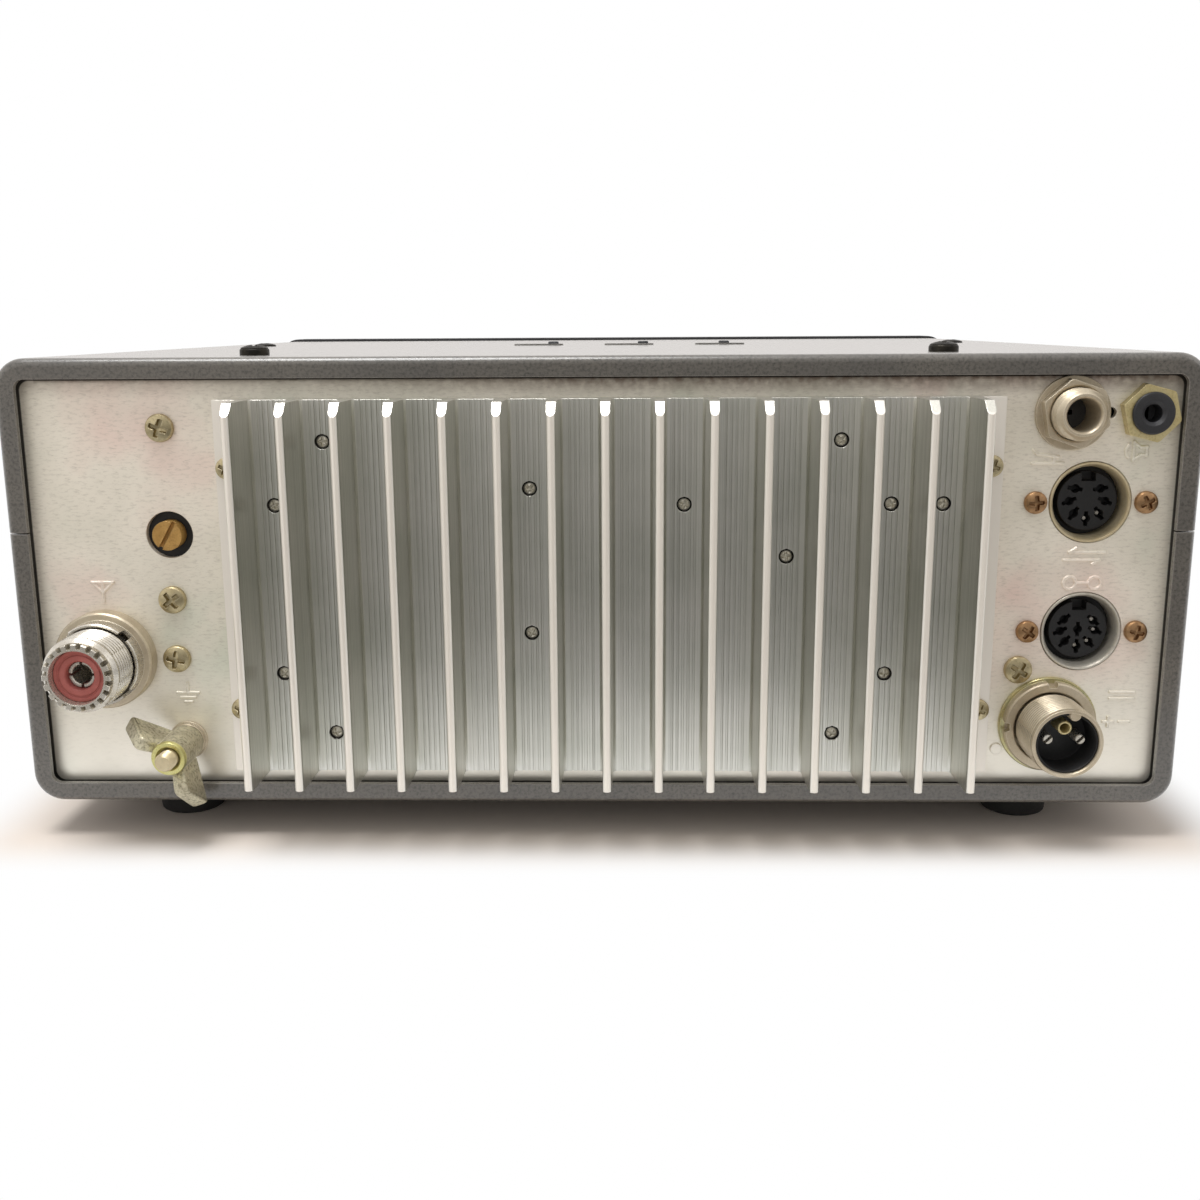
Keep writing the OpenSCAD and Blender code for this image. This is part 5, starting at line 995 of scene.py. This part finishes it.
addPiece("ring_grip", parts, [knobPhenolic, whiteInk], "ring_knob", "ring", sharp=30)

button = {"z": 51, "first": -104, "pitch": 13, "stem": [(1.4, -10.5), (0, -10.5), (0, -2.0), (1.4, -2.0)],
          "cap": [(3.0, -3.0), (0, -3.0), (0, 2.1), (0.12, 2.5), (0.4, 2.85), (0.8, 3.0), (1.3, 2.95),
                  (2.0, 2.8), (3.0, 2.72)]}
for k, word in enumerate(("one", "two", "three", "four")):
    at = (button["first"] + k * button["pitch"], frontY, button["z"])
    parts = [ringed(4.5, 3.0, 0.7, button["cap"], at, "-y", 96),
             ringed(1.4, 1.4, 0.2, button["stem"], at, "-y")]
    addPiece("press_cap_" + word, parts, [buttonAbs], "button_" + word, "button_%d" % (k + 1))
print("controls done")


# meter scale, windows, counter and printed marks

def tick(angle, start, length, width, height, at):
    # a short straight line that points away from the middle of a scale
    direction = np.array([math.cos(angle), math.sin(angle)])
    return stroke([(start + length * f) * direction for f in (0, 0.5, 1)], width, height, at, "-y")


meter = {"x": -86, "pivot": 63, "y": -102.5, "radius": 21.5, "first": 132, "sweep": 84, "ticks": 28,
         "redFrom": 17, "labels": ("0", "2", "4", "6", "8", "10"), "labelSize": 2.9, "labelInset": 2.6}
meterAt = (meter["x"], meter["y"], meter["pivot"])
arc = arcPath(0, 0, meter["radius"], meter["first"] - meter["sweep"], meter["first"], 41)
parts = [stroke(arc, 0.35, 0.06, meterAt, "-y")]
for k in range(meter["ticks"] + 1):
    a = math.radians(meter["first"] - meter["sweep"] * k / meter["ticks"])
    mark = tick(a, meter["radius"], 1.1 if k % 4 else 2.0, 0.3, 0.06, meterAt)
    parts.append(mark + (int(k >= meter["redFrom"]),))
for k, label in enumerate(meter["labels"]):
    a = math.radians(meter["first"] - meter["sweep"] * k / (len(meter["labels"]) - 1))
    r = meter["radius"] - meter["labelInset"]
    at = (meter["x"] + r * math.cos(a), meter["y"] - 0.02, meter["pivot"] + r * math.sin(a))
    parts.append(numeral(label, meter["labelSize"], at, "-y") + (int(k > 2),))
addPiece("meter_scale", parts, [blackInk, redLacquer], sharp=60)

# windows: rounded plates, a hair short of the parts behind them, clear for the meter and dark for the counter
panes = {"front": 4.0, "back": 5.3, "corner": 1.5, "places": [(-86, 76, 27, 18), (-4, 80, 45, 14)]}
front, back = panes["front"], panes["back"]
parts = [ringed(w, h, panes["corner"], [(w, front), (0, front), (0, back), (w, back)], (x, frontY, z)) + (k,)
         for k, (x, z, w, h) in enumerate(panes["places"])]
addPiece("window_panes", parts, [acrylic, filterGlass], "clear_windows")

# counter digits: seven slim bars each, leaning a little
segments = {"a": ((-1, 2), (1, 2)), "b": ((1, 2), (1, 0)), "c": ((1, 0), (1, -2)), "d": ((-1, -2), (1, -2)),
            "e": ((-1, 0), (-1, -2)), "f": ((-1, 2), (-1, 0)), "g": ((-1, 0), (1, 0))}
shapes = {"0": "abcdef", "1": "bc", "2": "abged", "4": "fgbc", "5": "afgcd", "7": "abc"}
counter = {"x": -4, "z": 80, "text": "142507", "pitch": 11.5, "scale": (2.6, 3.3), "y": frontY + 4.0,
           "short": 0.12, "lean": 0.1, "bar": (1.0, 0.02)}
parts = []
for k, digit in enumerate(counter["text"]):
    x = counter["x"] + (k - 2.5) * counter["pitch"]
    for s in shapes[digit]:
        p = np.array(segments[s], float) * counter["scale"]
        p += (p.mean(0) - p) * counter["short"]
        p[:, 0] += p[:, 1] * counter["lean"]
        parts.append(stroke([p[0], p.mean(0), p[1]], *counter["bar"], (x, counter["y"], counter["z"]), "-y"))
addPiece("counter_digits", parts, [segmentGlow], sharp=60)

# ticks printed round the knobs: (x, z, radius, count, sweep in degrees)
scales = ((92, 76, 13.2, 11, 300), (92, 42, 13.2, 5, 120), (58, 76, 11.2, 11, 280), (58, 42, 11.7, 11, 300))
parts = [tick(math.radians(90 + sweep / 2 - sweep * k / (count - 1)), radius, 1.4, 0.4, 0.04, (x, frontY, z))
         for x, z, radius, count, sweep in scales for k in range(count)]
addPiece("panel_marks", parts, [whiteInk], sharp=60)
print("front marks done")


# stage, light, camera

def stageSheet(name, points, faces, material):
    mesh = bpy.data.meshes.new(name)
    mesh.from_pydata(points, [], faces)
    mesh.materials.append(material)
    sheet = bpy.data.objects.new(name, mesh)
    bpy.context.scene.collection.objects.link(sheet)
    return sheet


def stageFloor():
    # matt paper sweep: near the case's outline it takes the shadow, further off it runs into white
    floor = {"half": 4.0, "shadow": 0.02, "mirror": 0.005, "outline": (0.1215, 0.1215, 0)}
    material, tree, shader, place = newMaterial("matt white paper")
    fibre = noise(tree, place, 1000 / 60, 4.0)
    paper = mixed(tree, fibre, "#efe4da", "#ebe0d6")
    feed(tree, shader, {"Base Color": paper, "Roughness": 0.9, "Specular IOR Level": 0.1})
    far = beyond(tree, place, floor["outline"])
    fade = add(tree, "MapRange", (far, 0, floor["shadow"]), interpolation_type="SMOOTHSTEP")
    near = remap(tree, far, 0, floor["mirror"])
    rays = add(tree, "LightPath").outputs
    seen = number(tree, "MAXIMUM", rays["Is Camera Ray"], rays["Is Glossy Ray"])
    seen = number(tree, "MAXIMUM", seen, rays["Is Transmission Ray"])
    mirrored = number(tree, "MULTIPLY", rays["Is Glossy Ray"], near)
    share = number(tree, "MULTIPLY", seen, fade)
    share = number(tree, "MAXIMUM", share, mirrored)
    white = add(tree, "Emission", {"Color": (1, 1, 1, 1), "Strength": 1.0})
    blend = add(tree, "MixShader", (share, shader, white))
    feed(tree, tree.get_output_node("ALL"), {"Surface": blend})
    s = floor["half"]
    stageSheet("paper_floor", [(-s, -s, 0), (s, -s, 0), (s, s, 0), (-s, s, 0)], [(0, 1, 2, 3)], material)


def stageLight():
    # white room seen by camera and gloss, dimmer as fill, with one large soft lamp above and one beside
    lamps = {"top": ((0.2, 0.25, 0.95), (0, 0.05, 0.05), 0.5, 6.0),
             "side": ((-0.8, 0.5, 0.6), (0, 0.1, 0.05), 0.5, 0.3)}
    world = bpy.data.worlds.new("white room")
    bpy.context.scene.world = world
    tree = emptyTree(world)
    room = add(tree, "Background", {"Color": (1, 1, 1, 1), "Strength": 1.0})
    gloss = add(tree, "Background", {"Color": (1, 0.965, 0.94, 1), "Strength": 1.0})
    fill = add(tree, "Background", {"Color": (1, 0.985, 0.965, 1), "Strength": 0.6})
    rays = add(tree, "LightPath").outputs
    seen = number(tree, "MAXIMUM", rays["Is Camera Ray"], rays["Is Transmission Ray"])
    both = add(tree, "MixShader", (rays["Is Glossy Ray"], fill, gloss))
    both = add(tree, "MixShader", (seen, both, room))
    add(tree, "OutputWorld", {"Surface": both})
    for name, (spot, target, size, power) in lamps.items():
        light = bpy.data.lights.new(name + "_lamp", "AREA")
        light.shape, light.size, light.energy = "DISK", size, power
        lamp = bpy.data.objects.new(name + "_lamp", light)
        lamp.location = spot
        lamp.rotation_euler = (Vector(target) - Vector(spot)).to_track_quat("-Z", "Y").to_euler()
        bpy.context.scene.collection.objects.link(lamp)


def stageCard():
    # a dark room behind the camera that only the metals see, lighter upwards and towards +x
    wide, near, far, low, high = 1.6, 0.205, 0.8, 0.004, 0.8
    material = bpy.data.materials.new("dark cloth")
    tree = emptyTree(material)
    spot = add(tree, "SeparateXYZ", (add(tree, "TexCoord").outputs["Object"],)).outputs
    upward = remap(tree, spot["Z"], 0, 0.35, 0.21, 0.66)
    aside = remap(tree, spot["X"], 0.05, 0.6, 0, 0.5)
    level = number(tree, "ADD", upward, aside)
    glow = add(tree, "Emission", {"Color": (1, 0.98, 0.95, 1), "Strength": level})
    add(tree, "OutputMaterial", {"Surface": glow})
    card = stageSheet("dark_card", [
        (-wide, near, low), (wide, near, low), (wide, far, low), (-wide, far, low), (wide, far, high),
        (-wide, far, high)], [(0, 1, 2, 3), (3, 2, 4, 5)], material)
    card.visible_camera = card.visible_diffuse = card.visible_shadow = card.visible_transmission = False


def stageCamera():
    # the photograph's viewpoint: 38.7 mm lens on a 36 mm square, behind the object and a little above it
    view = {"place": (-7.106, 381.70, 108.467), "yaw": -0.0243, "pitch": 0.2123, "roll": -0.0059,
            "lens": 38.70}
    yaw, pitch, roll = view["yaw"], view["pitch"], view["roll"]
    ahead = Vector((math.sin(yaw) * math.cos(pitch), math.cos(yaw) * math.cos(pitch), -math.sin(pitch)))
    right = Vector((math.cos(yaw), -math.sin(yaw), 0))
    up = right.cross(ahead)
    right, up = math.cos(roll) * right + math.sin(roll) * up, -math.sin(roll) * right + math.cos(roll) * up
    half = Matrix.Diagonal((-1, -1, 1))  # the view was measured facing the rear
    turn = Matrix((half @ right, half @ up, half @ -ahead)).transposed()
    data = bpy.data.cameras.new("camera")
    data.lens, data.sensor_width, data.sensor_fit = view["lens"], 36.0, "HORIZONTAL"
    data.clip_start, data.clip_end = 0.01, 50
    camera = bpy.data.objects.new("camera", data)
    camera.matrix_world = Matrix.Translation(Vector(view["place"]) * mm) @ turn.to_4x4()
    bpy.context.scene.collection.objects.link(camera)
    bpy.context.scene.camera = camera


stageFloor()
stageLight()
stageCard()
stageCamera()
bpy.context.scene.view_settings.view_transform = "Standard"
print("scene done")
